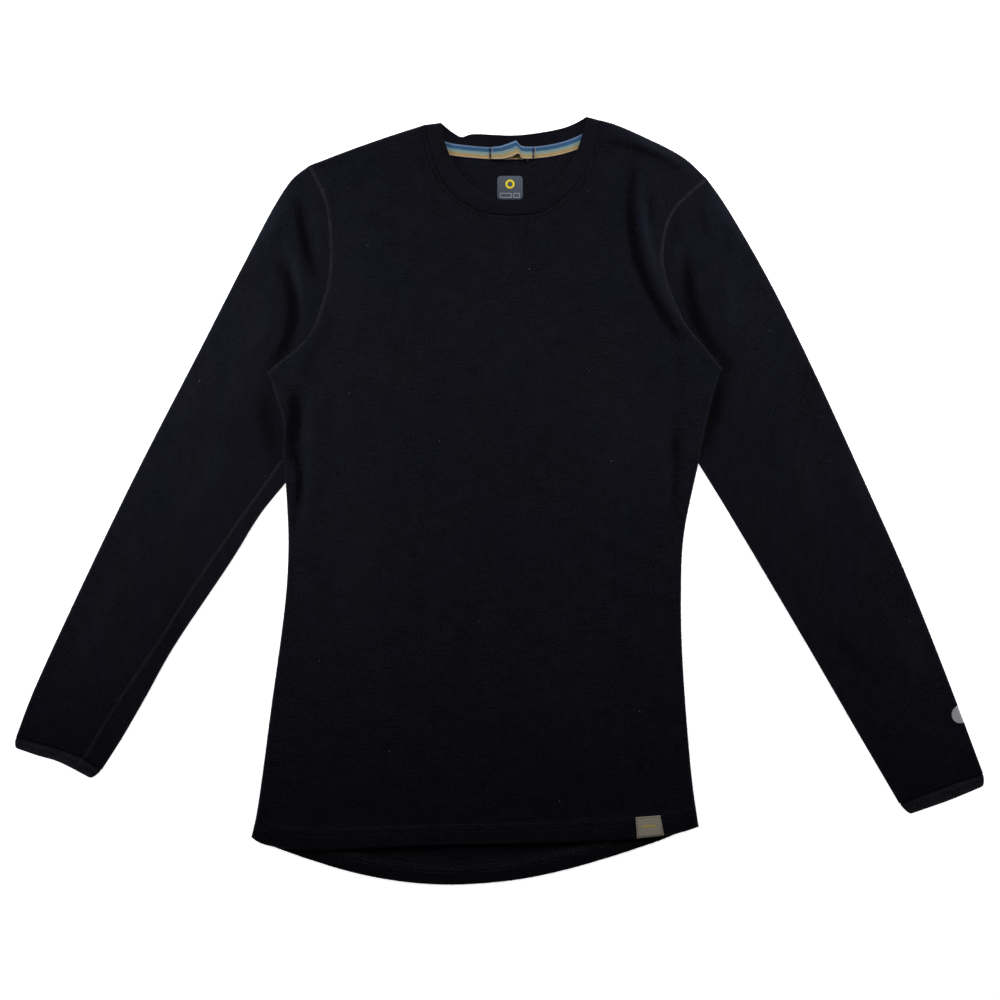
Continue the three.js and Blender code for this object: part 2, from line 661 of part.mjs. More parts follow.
// The hang loop lies on the tape between two tacks and bows up between them
function hangLoop() {
  const marks = [...Array(LOOP.steps + 1).keys()].map((step) => step / LOOP.steps);
  const shareOf = NECK_LINES.backSeam.map(({ x }, place) => ({ x, y: NECK_MARKS[place] }));
  const seam = marks.map((mark) => neckPoint('backSeam', lineY(shareOf, mix(LOOP.from, LOOP.to, mark))));
  const rows = TAPE.map((row) => moved(seam, row.above).map((point, place) => {
    const arch = Math.sin(Math.PI * marks[place]);
    const bottom = row.bottom + TAPE_WALL + REST_GAP + LOOP.high * arch;
    return { x: point.x, y: point.y + LOOP.bow * arch, top: bottom + TAPE_WALL, bottom };
  }));
  return sheet('hang_loop', rows, MATERIALS.tape);
}

// The label is a thin rounded patch on the inside of the back
function neckLabel() {
  const { corner } = LABEL;
  const right = LABEL.wide / 2 - corner;
  const top = LABEL.tall / 2 - corner;
  const quarter = Math.PI / 2;
  const shape = new THREE.Shape();
  shape.absarc(right, -top, corner, -quarter, 0);
  shape.absarc(right, top, corner, 0, quarter);
  shape.absarc(-right, top, corner, quarter, 2 * quarter);
  shape.absarc(-right, -top, corner, 2 * quarter, 3 * quarter);
  shape.closePath();
  const settings = { depth: PRINT_WALL, bevelEnabled: false, curveSegments: 5 };
  const mesh = new THREE.Mesh(new THREE.ExtrudeGeometry(shape, settings), MATERIALS.label);
  mesh.name = 'neck_label';
  mesh.position.set(LABEL.x, LABEL.y, WALL + REST_GAP);
  return mesh;
}

// The tag is sewn flat on the front hem
function hemTag() {
  const steps = [0, 0.25, 0.5, 0.75, 1];
  const rows = steps.map((up) => steps.map((across) => {
    const low = between(TAG.lowLeft, TAG.lowRight, across);
    const high = between(TAG.highLeft, TAG.highRight, across);
    const point = between(low, high, up);
    const bottom = frontBottom(point, 1) + 2 * WALL + REST_GAP;
    return { ...point, top: bottom + TAPE_WALL, bottom };
  }));
  return sheet('hem_tag', rows, MATERIALS.tag);
}

const garment = new THREE.Group();
garment.add(
  backPanel(),
  frontPanel(),
  sleeve('left'),
  sleeve('right'),
  cuff('left'),
  cuff('right'),
  neckband(),
  neckTape(),
  hangLoop(),
  neckLabel(),
  hemTag(),
);

export default garment;
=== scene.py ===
# %% [markdown]
# # A base layer top, laid flat
# A long-sleeved top of fine black wool jersey lies on a table with its front upwards. This lesson loads
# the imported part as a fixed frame, and dresses each of its solids in cloth: panels and sleeves with their
# creases, a neckband, cuffs, a striped tape with a hang loop, a label, a hem tag and the sewing.

# %% Load the frame
import json
import math

import bmesh
import bpy
import numpy as np
from mathutils import Matrix, Vector, noise
from mathutils.bvhtree import BVHTree

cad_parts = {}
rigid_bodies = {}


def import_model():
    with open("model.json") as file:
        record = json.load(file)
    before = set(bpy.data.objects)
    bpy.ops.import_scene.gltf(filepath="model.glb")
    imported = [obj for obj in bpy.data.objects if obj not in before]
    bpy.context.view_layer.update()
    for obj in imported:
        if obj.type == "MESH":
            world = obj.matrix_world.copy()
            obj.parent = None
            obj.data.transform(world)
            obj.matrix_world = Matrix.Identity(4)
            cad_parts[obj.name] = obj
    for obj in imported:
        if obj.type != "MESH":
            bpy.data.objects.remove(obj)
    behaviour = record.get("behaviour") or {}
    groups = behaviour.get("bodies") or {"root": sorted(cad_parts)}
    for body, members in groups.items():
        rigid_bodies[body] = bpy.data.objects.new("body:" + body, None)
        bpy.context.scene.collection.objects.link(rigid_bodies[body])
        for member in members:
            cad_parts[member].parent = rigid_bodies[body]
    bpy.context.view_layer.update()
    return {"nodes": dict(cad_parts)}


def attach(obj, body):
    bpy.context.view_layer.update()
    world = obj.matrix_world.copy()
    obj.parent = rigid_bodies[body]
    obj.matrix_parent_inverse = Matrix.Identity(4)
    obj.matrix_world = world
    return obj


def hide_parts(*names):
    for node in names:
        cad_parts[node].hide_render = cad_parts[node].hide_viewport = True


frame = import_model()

print("nodes:", sorted(frame["nodes"]))

# %% [markdown]
# ## The stage
# The top was photographed from straight above, so the camera hangs five metres over it with a long lens,
# and one pixel of the frame is one millimetre of cloth. The floor is plain and pale. Wool this dark shows
# its creases only where light rakes over them, so one soft box stands beyond the neck, one beside each
# shoulder and a small one beside each cuff, with grids that narrow their beams. The light fades towards the
# hem, as it does in the picture.

# %% Camera
scene = bpy.context.scene
CAMERA_HEIGHT = 5.0
FRAME_WIDTH = 1.0
FRAME_MIDDLE = (0.0005, 0.001)
SENSOR = 36.0

camera_data = bpy.data.cameras.new("overhead_camera")
camera_data.sensor_width = SENSOR
camera_data.lens = SENSOR * CAMERA_HEIGHT / FRAME_WIDTH
camera = bpy.data.objects.new("overhead_camera", camera_data)
camera.location = (*FRAME_MIDDLE, CAMERA_HEIGHT)
scene.collection.objects.link(camera)
scene.camera = camera
scene.view_settings.view_transform = "Standard"
print("camera sees", FRAME_WIDTH, "m across")

# %% Soft boxes: place, aim, width and height in metres, power in watts and beam in degrees
SOFT_BOXES = {
    "beyond_neck": ((0.1, 1.0, 0.5), (0, 0.5, 0), (1.2, 0.3), 1.4, 56),
    "left": ((-0.78, 0.45, 0.4), (-0.32, 0.15, 0), (0.4, 0.4), 0.95, 60),
    "right": ((0.78, 0.5, 0.4), (0.34, 0.2, 0), (0.4, 0.4), 0.66, 60),
    "left_cuff": ((-0.85, -0.05, 0.3), (-0.44, -0.16, 0), (0.3, 0.3), 0.15, 55),
    "right_cuff": ((0.85, -0.05, 0.3), (0.45, -0.18, 0), (0.3, 0.3), 0.15, 55),
}
for name, (place, aim, size, power, beam) in SOFT_BOXES.items():
    data = bpy.data.lights.new(f"soft_box_{name}", "AREA")
    data.shape = "RECTANGLE"
    data.size, data.size_y = size
    data.energy = power
    data.spread = math.radians(beam)
    light = bpy.data.objects.new(f"soft_box_{name}", data)
    light.location = place
    light.rotation_euler = (Vector(aim) - Vector(place)).to_track_quat("-Z", "Y").to_euler()
    light.visible_camera = False
    scene.collection.objects.link(light)
print("soft boxes:", len(SOFT_BOXES))

# %% A white room, which the camera sees but which gives hardly any light
ROOM_SEEN, ROOM_LIGHT = 1.0, 0.006
room = bpy.data.worlds.new("bright_room")
room.use_nodes = True
background = room.node_tree.nodes["Background"]
sight = room.node_tree.nodes.new("ShaderNodeLightPath")
strength = room.node_tree.nodes.new("ShaderNodeMapRange")
strength.inputs["To Min"].default_value = ROOM_LIGHT
strength.inputs["To Max"].default_value = ROOM_SEEN
room.node_tree.links.new(sight.outputs["Is Camera Ray"], strength.inputs["Value"])
room.node_tree.links.new(strength.outputs["Result"], background.inputs["Strength"])
background.inputs["Color"].default_value = (1, 1, 1, 1)
scene.world = room
print("light of the room:", ROOM_LIGHT)

# %% [markdown]
# ## Sizes and outlines
# Cloth is made from flat cuts, so the drawing is a few named lines in millimetres. They are the ones that
# the solids come from, but for a small bump in the back neckband's free edge. A stretch of an outline is a
# short table of points, and a smooth line goes through them. The left of the tables is the left of the
# picture.

# %% Driving sizes, in millimetres
MM = 0.001
WALL = 1.2
BAND_WALL = 2.2
TAPE_WALL = 0.5
LAYER_GAP = 0.8
SEAM_OVERLAP = 0.2
NECK_GROOVE = 0.45
REST_GAP = 0.3
FLAT_HEIGHT = 2 * WALL + LAYER_GAP
HEM_DEPTH = 20
HEM_STEP = 2.5
CUFF_HEIGHT = 2 * BAND_WALL + 0.6
NECK_HEIGHT = {"fold": 6.4, "front": 4.5, "free_edge": 0.9, "behind": 2.6}
TAPE_WIDTH = 11.5
TAPE_ABOVE_SEAM = 4
BAND_DEPTH = 15
LOOP = {"start": -10, "end": 34.5, "high": 3, "bow": 7.0, "peak": 0.6}
LABEL = {"x": 10.5, "y": 313.2, "wide": 25.5, "tall": 23.5, "corner": 3.5, "thick": 0.3}
TAG_CORNERS = ((137.5, -337), (164.5, -334), (136, -316), (160.5, -314))
TAG = {"wide": 26, "tall": 21}
PANEL = {"wide": 430, "tall": 690, "fade": 7}
HELD = 14
BACK_INSET = 2.3
DEEPEST_TROUGH = -0.45
print("flat sleeve", FLAT_HEIGHT, "mm high, neckband", NECK_HEIGHT["fold"], "mm at its folds")

# %% Outlines
BODY = {
    "left": {
        "side": [(-248, -336), (-243, -314), (-228.5, -209), (-213.5, -94), (-211, -40), (-213.5, 17)],
        "fold": [(-213.5, 17), (-216.5, 46), (-216, 79), (-223.5, 104), (-231.5, 128)],
        "armhole_low": [(-231.5, 128), (-211.5, 144), (-195, 158.5), (-181.5, 178.5)],
        "armhole_high": [(-181.5, 178.5), (-170, 220), (-168, 250), (-172.5, 297), (-190, 335.5)],
        "hidden_cap": [(-211.5, 21), (-210, 55), (-209.5, 90), (-206, 122), (-194, 153), (-181.5, 178.5)],
    },
    "right": {
        "side": [(199, -325.5), (192.5, -279), (183, -159), (181.5, -94), (184, -36), (198.5, 37)],
        "fold": [(198.5, 37), (203.5, 62.5), (213.5, 106.5), (221.5, 131.5)],
        "armhole_low": [(221.5, 131.5), (206.5, 150.5), (193.5, 165.5), (182, 180)],
        "armhole_high": [(182, 180), (166, 220), (162, 248), (172, 288), (207, 322.5)],
        "hidden_cap": [(196.5, 41.5), (195, 71), (193, 111), (188, 150), (182, 180)],
    },
}
SHOULDER_LEFT = [(-190, 335.5), (-135.5, 356), (-95.5, 369.5), (-74.5, 376)]
SHOULDER_RIGHT = [(100.5, 380.5), (112.5, 377.5), (144.5, 364), (184.5, 343), (207, 322.5)]
FRONT_HEM = [(-248, -336), (-239, -342), (-199.5, -348.5), (-59.5, -344.5), (53.5, -342), (140.5, -337.5),
             (182.5, -331), (199, -325.5)]
BACK_HEM = [(-248, -336), (-229.5, -344.5), (-139.5, -373), (-64.5, -383.3), (10.5, -379.5),
            (70.5, -367.5), (160.5, -339.5), (180.5, -331.5), (199, -325.5)]
NECK = {
    "front_seam": [(-74.5, 376), (-71, 356.5), (-54, 315), (-22.5, 291), (10.5, 285.5), (46.5, 291),
                   (75.5, 315), (94.5, 349.5), (100.5, 380.5)],
    "front_free": [(-58.5, 378), (-55, 360), (-39.5, 327), (-13.5, 306.5), (10.5, 300.5), (37.5, 306.5),
                   (61.5, 325.5), (78, 352), (87, 384)],
    "back_seam": [(-74.5, 376), (-67, 362), (-54.5, 355), (-29.5, 351), (10.5, 349), (50.5, 352),
                  (75.5, 359), (91, 368), (100.5, 380.5)],
    "back_free": [(-58.5, 378), (-47.5, 369), (-38, 363.8), (-28.5, 366.4), (18.5, 365.5), (60.5, 372),
                  (74.5, 377), (87, 384)],
}
SLEEVES = {
    "left": {
        "outer": [(-206, 323), (-221.5, 301), (-253.5, 241), (-299.5, 151), (-361.5, 31), (-419.5, -89),
                  (-467.5, -194)],
        "inner": [(-239.5, -14), (-267.5, -59), (-327.5, -149), (-352.5, -194), (-378.5, -239)],
        "cuff_top": [(-484, -236), (-442.5, -247), (-417.5, -256.5), (-397, -269)],
        "cuff_end": [(-484.5, -246.5), (-461, -254.5), (-442, -260), (-407.5, -277.5)],
    },
    "right": {
        "outer": [(222.5, 301), (266.5, 226), (311.5, 136), (366.5, 16), (406.5, -74), (448.5, -179)],
        "inner": [(230.5, -14), (310.5, -149), (362.5, -239)],
        "cuff_top": [(484, -272), (449.5, -283), (399, -302.5)],
        "cuff_end": [(484.5, -284.5), (449.5, -299), (409.5, -313)],
    },
}
print("front hem", FRONT_HEM[-1][0] - FRONT_HEM[0][0], "mm wide")

# %% [markdown]
# ## Smooth lines and patches of cloth
# A line through a few knots could be a Bezier curve, but the centripetal Catmull-Rom form needs no
# handles and never loops. A panel is a patch between four such lines: its hem and its top are joined by
# straight threads, and the bend of its sides dies away inside it.

# %% Lines
KNOT_STEPS = 24


def smooth(rows, steps):
    """A smooth line through the rows' points, cut into equal steps."""
    knots = np.array(rows, float)
    knots = np.vstack([2 * knots[0] - knots[1], knots, 2 * knots[-1] - knots[-2]])
    share = np.linspace(0, 1, KNOT_STEPS + 1)[1:, None]
    dense = [knots[1:2]]
    for before, start, end, after in zip(knots, knots[1:], knots[2:], knots[3:]):
        first = math.sqrt(np.linalg.norm(start - before))
        second = math.sqrt(np.linalg.norm(end - start))
        third = math.sqrt(np.linalg.norm(after - end))
        leave = (start - before) / first - (end - before) / (first + second) + (end - start) / second
        arrive = (end - start) / second - (after - start) / (second + third) + (after - end) / third
        leave, arrive = leave * second, arrive * second
        square = 3 * (end - start) - 2 * leave - arrive
        cubic = 2 * (start - end) + leave + arrive
        dense.append(start + leave * share + square * share**2 + cubic * share**3)
    dense = np.vstack(dense)
    return along(dense, marks_of(dense), np.linspace(0, 1, steps + 1))


def marks_of(points):
    """The share of its whole length at which each point of a line lies."""
    steps = np.linalg.norm(np.diff(points, axis=0), axis=1)
    return np.concatenate([[0], np.cumsum(steps)]) / steps.sum()


def length_of(points):
    """The length of a line."""
    return np.linalg.norm(np.diff(points, axis=0), axis=1).sum()


def along(points, marks, share):
    """The points of a line at some shares of its length."""
    return np.stack([np.interp(share, marks, points[:, axis]) for axis in (0, 1)], -1)


def joined(*stretches):
    """Stretches that meet end to end, as one line."""
    return np.vstack([stretches[0], *[stretch[1:] for stretch in stretches[1:]]])


def moved(points, offset):
    """A line moved sideways, to the left of its own direction."""
    way = np.vstack([points[1:], points[-1:]]) - np.vstack([points[:1], points[:-1]])
    way /= np.linalg.norm(way, axis=1)[:, None]
    return points + offset * np.stack([-way[:, 1], way[:, 0]], -1)


# %% Blends and patches
def mix(start, end, share):
    """A value between two others."""
    return start + (end - start) * share


def eased(value):
    """A soft step from 0 to 1."""
    share = np.clip(value, 0, 1)
    return share * share * (3 - 2 * share)


def fading(gap, full, none):
    """1 where a gap is under full, and 0 where it is over none."""
    return eased((none - gap) / (none - full))


def patch(bottom, top, left, right, across_marks, up_marks, fade):
    """A function that gives the points of a four-sided stretch of cloth."""
    def at(across, up):
        across, up = np.broadcast_arrays(across, up)
        low, high = along(bottom, across_marks, across), along(top, across_marks, across)
        across, rise = across[..., None], up[..., None]
        near = along(left, up_marks, up) - mix(bottom[0], top[0], rise)
        far = along(right, up_marks, up) - mix(bottom[-1], top[-1], rise)
        return mix(low, high, rise) + near * (1 - across) ** fade + far * across**fade
    return at


# %% The garment's lines
STEPS = {"side": 72, "fold": 24, "armhole_low": 18, "armhole_high": 48, "shoulder": 30, "neck": 96,
         "sleeve": 120, "cuff": 48, "hem": 120}
STEPS["hidden_cap"] = STEPS["fold"] + STEPS["armhole_low"]
LINES = {}
for side, outward in (("left", -1), ("right", 1)):
    line = {part: smooth(rows, STEPS[part]) for part, rows in BODY[side].items()}
    line["cover"] = joined(line["fold"], line["armhole_low"])
    line["outward"] = outward
    LINES[side] = line
HEM_LINES = {"front": smooth(FRONT_HEM, STEPS["hem"]), "back": smooth(BACK_HEM, STEPS["hem"])}
SHOULDERS = [smooth(rows, STEPS["shoulder"]) for rows in (SHOULDER_LEFT, SHOULDER_RIGHT)]
NECK_LINES = {name: smooth(rows, STEPS["neck"]) for name, rows in NECK.items()}
NECK_MARKS = np.linspace(0, 1, STEPS["neck"] + 1)
print("neck seam", round(length_of(NECK_LINES["front_seam"]), 1), "mm in front")

# %% [markdown]
# ## Folds, wrinkles and lifts
# Laid out by hand, jersey keeps soft ridges at the armholes, where it was turned, and faint ripples
# elsewhere. A cloth simulation would invent others, so each ridge or trough is one row of a table: where
# it starts, bends and ends, how wide it is and how high. Three lifts carry the front over the back's turned
# hem, over the sleeve at the underarm and up to the neckband.

# %% Folds of the front: start, bend and end, half width and height, in millimetres
FRONT_FOLDS = [
    (141.5, 322, 138, 262, 174, 186, 6, 2.3),
    (160, 300, 153, 270, 170, 226, 5, 0.9),
    (118, 318, 118, 250, 160, 172, 12, 0.8),
    (114, 374, 162, 357, 200, 324, 8, 2.4),
    (-150, 300, -145, 230, -150, 160, 30, 0.9),
    (-60, 220, 20, 150, 90, 60, 70, 0.8),
    (120, 150, 130, 60, 120, -40, 40, 0.9),
    (-150, 60, -130, -60, -140, -180, 45, 0.8),
    (60, -60, 80, -160, 70, -260, 50, 0.8),
    (-190, 118, -190, 60, -196, -40, 8, 1.4),
    (164, 90, 166, 30, 168, -60, 9, 0.8),
    (184, 84, 190, 40, 184, -10, 5, 0.7),
]
FRONT_TROUGHS = [
    (133.5, 328, 118, 240, 180.5, 161, 5, -1.6),
    (153, 306, 149, 290, 151.5, 274, 2, -0.7),
    (105, 358, 140, 356, 180, 333, 4, -0.8),
    (-205.5, 106, -203, 82, -209, 46, 6, -1.9),
    (-204.5, 47, -195, 20, -206, -20, 3.5, -1.3),
    (174.5, 82, 178, 50, 174.5, -8, 4, -0.7),
]
FRONT_WRINKLES = [
    (-150, 305, -110, 285, -70, 262, 8, 0.8),
    (-130, 262, -80, 262, -30, 240, 7, 0.6),
    (-196, 150, -150, 120, -96, 118, 9, 0.6),
    (190, 150, 140, 124, 84, 120, 10, 0.6),
    (-70, 280, -92, 210, -70, 150, 18, 0.3),
    (30, 262, 64, 214, 110, 190, 16, 0.3),
    (-190, -80, -120, -96, -60, -84, 14, 0.5),
    (-60, -30, 10, -48, 90, -36, 16, 0.3),
    (60, -10, 112, -46, 184, -70, 7, 0.8),
    (84, -58, 130, -92, 182, -96, 6, 0.7),
    (-208, -230, -150, -214, -96, -222, 15, 0.5),
    (20, -250, 80, -262, 150, -250, 16, 0.5),
]
print("folds of the front:", len(FRONT_FOLDS + FRONT_TROUGHS + FRONT_WRINKLES))

# %% Folds of the sleeves, with the same columns
SLEEVE_FOLDS = {
    "left": [
        (-213, 258, -193, 215, -200, 166, 6, 2.4),
        (-187, 290, -179, 262, -179, 232, 5, 1.4),
        (-208, 318, -228, 286, -254, 236, 12, 1.8),
        (-232, 205, -238, 165, -250, 130, 14, 1.3),
        (-264, 180, -262, 130, -268, 96, 9, 0.8),
        (-300, 100, -312, 78, -332, 62, 12, 1.0),
        (-270, 60, -290, 20, -320, -30, 16, 1.1),
        (-385, -90, -402, -130, -415, -175, 18, 1.0),
        (-254, 140, -262, 96, -300, 70, 8, 0.5),
        (-246, 30, -286, 40, -322, 62, 7, 0.5),
        (-340, -20, -352, -60, -380, -84, 8, 0.4),
        (-330, -120, -362, -112, -396, -124, 9, 0.4),
        (-372, -180, -404, -176, -440, -190, 10, 0.4),
    ],
    "right": [
        (202, 308, 210, 285, 218, 262, 5, 1.4),
        (208, 318, 224, 292, 246, 256, 7, 2.0),
        (174, 250, 195, 238, 216, 252, 6, 0.9),
        (180, 282, 172, 250, 184, 205, 5, 1.0),
        (225, 230, 235, 190, 240, 150, 16, 1.3),
        (345, 40, 362, 15, 384, -20, 14, 1.2),
        (290, 60, 305, 20, 325, -30, 16, 1.1),
        (395, -110, 412, -150, 424, -195, 18, 1.0),
        (256, 110, 300, 96, 330, 70, 8, 0.5),
        (330, 30, 356, 36, 372, 18, 6, 0.5),
        (318, -60, 352, -66, 392, -84, 9, 0.4),
        (364, -150, 400, -150, 436, -166, 10, 0.4),
        (380, -226, 420, -222, 456, -236, 9, 0.4),
    ],
}
SLEEVE_TROUGHS = {
    "left": [
        (-201, 300, -199, 262, -183, 222, 5, -1.3),
        (-217.5, 233, -190, 186, -229, 133, 6, -1.5),
        (-236, 112, -234, 75, -223, 40, 10, -0.7),
        (-262, 80, -268, 70, -272, 58, 5, -0.25),
        (-334, 62, -318, 72, -300, 84, 5, -0.2),
        (-322, -90, -318, -134, -350, -176, 12, -0.3),
    ],
    "right": [
        (176, 282, 176, 272, 179, 262, 4, -0.6),
        (187, 240, 186, 180, 228, 136, 7, -1.4),
        (226, 134, 219, 100, 203, 48, 7, -1.0),
        (196, 300, 204, 284, 208, 268, 4, -0.4),
        (336, -132, 356, -160, 380, -182, 9, -0.35),
        (300, 150, 306, 110, 322, 70, 12, -0.25),
    ],
}
print("ridges and troughs of the sleeves:",
      sum(len(rows) for table in (SLEEVE_FOLDS, SLEEVE_TROUGHS) for rows in table.values()))

# %% Heights and painted shading from the tables
FOLD_SAMPLES = 40
FOLD_END = 0.35
DARKEST = 1.2
CREST = 2.4
CREST_PAINTED_HIGHLIGHT = 1.1
WAVES = ((0.30, 46, 0), (0.16, 17, 5), (0.05, 6, 9))


def fold_height(folds, points):
    """The summed height of a table's ridges and troughs at some points."""
    total = np.zeros(points.shape[:-1])
    share = np.linspace(0, 1, FOLD_SAMPLES + 1)[:, None]
    taper = mix(FOLD_END, 1, np.sin(math.pi * share[:, 0]))
    for fold in folds:
        start, bend, end = (np.array(fold[place:place + 2]) for place in (0, 2, 4))
        wide, high = fold[6:]
        path = mix(mix(start, bend, share), mix(bend, end, share), share)
        gaps = ((points[..., None, :] - path) ** 2).sum(-1)
        total += high * taper[gaps.argmin(-1)] * np.exp(-gaps.min(-1) / wide**2)
    return total


def worn(troughs, ridges, points):
    """Painted shade, 1 deep in a trough, and a painted highlight, under 0 on a ridge."""
    hollow = np.clip(-fold_height(troughs, points), 0, DARKEST)
    crest = np.clip(fold_height(ridges, points) / CREST, 0, 1)
    return hollow - CREST_PAINTED_HIGHLIGHT * crest**2 * (1 - np.clip(hollow, 0, 1))


def ripple(points, size, seed):
    """Smooth chance unevenness between about -1 and 1, with waves of a size in millimetres."""
    flat = points.reshape(-1, 2) / size
    values = [noise.noise(Vector((x, y, seed))) for x, y in flat]
    return np.array(values).reshape(points.shape[:-1])


def uneven(points, seed):
    """The unevenness of cloth that was smoothed by hand: broad waves with small ones on them."""
    return sum(high * ripple(points, size, seed + shift) for high, size, shift in WAVES)


# %% The front panel's underside
HEM_LIFT_FADE = (2, 30)
UNDERARM_FADE = {"above": (6, 30), "below": (6, 22), "inside": (5, 17)}
NECK_LIFT = {"shoulder": 1.8, "middle": 0.4, "reach": 30, "between": (290, 360)}


def hem_lift(points):
    """The back hem lifts what lies on it, from a little way above its turned edge."""
    hem = HEM_LINES["back"]
    above = points[..., 1] - np.interp(points[..., 0], hem[:, 0], hem[:, 1]) - HEM_DEPTH - HEM_STEP
    return WALL * fading(above, *HEM_LIFT_FADE)


def underarm_lift(points):
    """The front lies over the sleeve at the underarm, and is lifted there."""
    full = FLAT_HEIGHT + 2 * REST_GAP - WALL - LAYER_GAP
    lifts = []
    for line in LINES.values():
        cap = line["hidden_cap"]
        low, high = cap[0, 1], cap[-1, 1]
        inside = (np.interp(points[..., 1], cap[:, 1], cap[:, 0]) - points[..., 0]) * line["outward"]
        lifts.append(fading(points[..., 1] - high, *UNDERARM_FADE["above"])
                     * fading(low - points[..., 1], *UNDERARM_FADE["below"])
                     * fading(inside, *UNDERARM_FADE["inside"]))
    return full * np.maximum(*lifts)


def neck_lift(points):
    """Beside the neck the front climbs towards the top of the band."""
    nearest = np.full(points.shape[:-1], np.inf)
    for place in NECK_LINES["front_seam"][::2]:
        nearest = np.minimum(nearest, ((points - place) ** 2).sum(-1))
    full = mix(NECK_LIFT["shoulder"], NECK_LIFT["middle"], fading(points[..., 1], *NECK_LIFT["between"]))
    return full * fading(np.sqrt(nearest), 0, NECK_LIFT["reach"])


def front_bottom(points, held):
    """The underside of the front. held is 0 at its edges, where the seams keep it down."""
    folds = fold_height(FRONT_FOLDS + FRONT_TROUGHS + FRONT_WRINKLES, points) + uneven(points, 1)
    lifts = hem_lift(points) + underarm_lift(points) + neck_lift(points)
    return WALL + LAYER_GAP + lifts + np.maximum(DEEPEST_TROUGH, folds) * held


# %% [markdown]
# ## Materials
# Fine merino jersey is dyed in the wool, so it isn't one black: short darker and lighter fibres make a
# heather, and thicker places in the yarn show as slubs. The fibres are fine noise, and the slubs are noise
# stretched along the courses. The loops of the knit are far smaller than a pixel of the main picture and
# show only close by, so they are a low bump. Heather and knit are node groups, because the panels and the
# bands share them, and a soft sheen stands for the nap.

# %% Node helpers
def srgb(red, green, blue):
    """A colour as a screen shows it, from 0 to 255, in Blender's linear values."""
    def linear(value):
        value /= 255
        return value / 12.92 if value <= 0.04045 else ((value + 0.055) / 1.055) ** 2.4
    return (linear(red), linear(green), linear(blue), 1)


def add(tree, kind, inputs=(), **settings):
    """A new node. inputs are (socket, value or the output to link) pairs."""
    node = tree.nodes.new(kind)
    for name, value in settings.items():
        setattr(node, name, value)
    for socket, value in inputs:
        if isinstance(value, bpy.types.NodeSocket):
            tree.links.new(value, node.inputs[socket])
        else:
            node.inputs[socket].default_value = value
    return node


def sums(tree, operation, *values):
    """The output of a Math node."""
    return add(tree, "ShaderNodeMath", enumerate(values), operation=operation).outputs[0]


def scaled(tree, vector, scale):
    """A vector put through a Mapping node."""
    return add(tree, "ShaderNodeMapping", (("Vector", vector), ("Scale", scale))).outputs["Vector"]


def speckle(tree, vector, scale, detail=2.0):
    """A noise value between 0 and 1."""
    inputs = (("Vector", vector), ("Scale", scale), ("Detail", detail), ("Roughness", 0.6))
    return add(tree, "ShaderNodeTexNoise", inputs).outputs["Fac"]


def blend(tree, share, first, second):
    """A colour between two others."""
    node = add(tree, "ShaderNodeMix", (("Factor", share),), data_type="RGBA")
    for socket, value in (("A", first), ("B", second)):
        target = [item for item in node.inputs if item.name == socket and item.type == "RGBA"][0]
        if isinstance(value, bpy.types.NodeSocket):
            tree.links.new(value, target)
        else:
            target.default_value = value
    return [item for item in node.outputs if item.type == "RGBA"][0]


def group(name, inputs, outputs):
    """An empty node group with named float or vector inputs and float outputs."""
    tree = bpy.data.node_groups.new(name, "ShaderNodeTree")
    for label, kind in inputs:
        tree.interface.new_socket(label, in_out="INPUT", socket_type=kind)
    for label in outputs:
        tree.interface.new_socket(label, in_out="OUTPUT", socket_type="NodeSocketFloat")
    return tree, tree.nodes.new("NodeGroupInput").outputs, tree.nodes.new("NodeGroupOutput").inputs


# %% Heather: the mixed fibres and slubs of the yarn
heather, taken, given = group(
    "heather", (("Vector", "NodeSocketVector"), ("Slubs", "NodeSocketFloat")), ("Tint", "Height"))
fibres = speckle(heather, taken["Vector"], 1300.0, 3.0)
mottle = speckle(heather, taken["Vector"], 55.0, 3.0)
long_slubs = speckle(heather, scaled(heather, taken["Vector"], (42, 760, 1)), 1.0, 2.0)
short_slubs = speckle(heather, scaled(heather, taken["Vector"], (160, 1500, 1)), 1.0, 1.0)
flecks = speckle(heather, scaled(heather, taken["Vector"], (520, 900, 1)), 1.0, 2.0)
slubs = sums(heather, "ADD", sums(heather, "MULTIPLY", sums(heather, "ADD", long_slubs, short_slubs), 0.6),
             sums(heather, "MULTIPLY", flecks, 1.8))
slubs = sums(heather, "MULTIPLY", sums(heather, "SUBTRACT", slubs, 1.5), taken["Slubs"])
grain = sums(heather, "ADD", sums(heather, "MULTIPLY", fibres, 0.9), sums(heather, "MULTIPLY", mottle, 0.4))
heather.links.new(sums(heather, "SUBTRACT", sums(heather, "ADD", grain, slubs), 0.15), given["Tint"])
heather.links.new(sums(heather, "ADD", fibres, slubs), given["Height"])

# %% Knit: columns of small V-shaped loops
knit, taken, given = group(
    "knit", (("Vector", "NodeSocketVector"), ("Wales", "NodeSocketFloat")), ("Height",))
parts = add(knit, "ShaderNodeSeparateXYZ", ((0, taken["Vector"]),)).outputs
across = sums(knit, "MULTIPLY", parts["X"], taken["Wales"])
column = sums(knit, "ABSOLUTE", sums(knit, "SUBTRACT", sums(knit, "FRACT", across), 0.5))
courses = sums(knit, "MULTIPLY", sums(knit, "MULTIPLY", parts["Y"], taken["Wales"]), 1.35)
slanted = sums(knit, "ADD", courses, sums(knit, "MULTIPLY", column, 1.1))
loops = sums(knit, "SINE", sums(knit, "MULTIPLY", slanted, 2 * math.pi))
round_leg = sums(knit, "SINE", sums(knit, "MULTIPLY", column, 2 * math.pi))
knit.links.new(sums(knit, "MULTIPLY", sums(knit, "ADD", loops, 1.6), round_leg), given["Height"])
print("node groups:", [tree.name for tree in bpy.data.node_groups])


# %% Shapes drawn by shader nodes
BOX_EDGE = 0.00006
DISC_EDGE = 0.00008


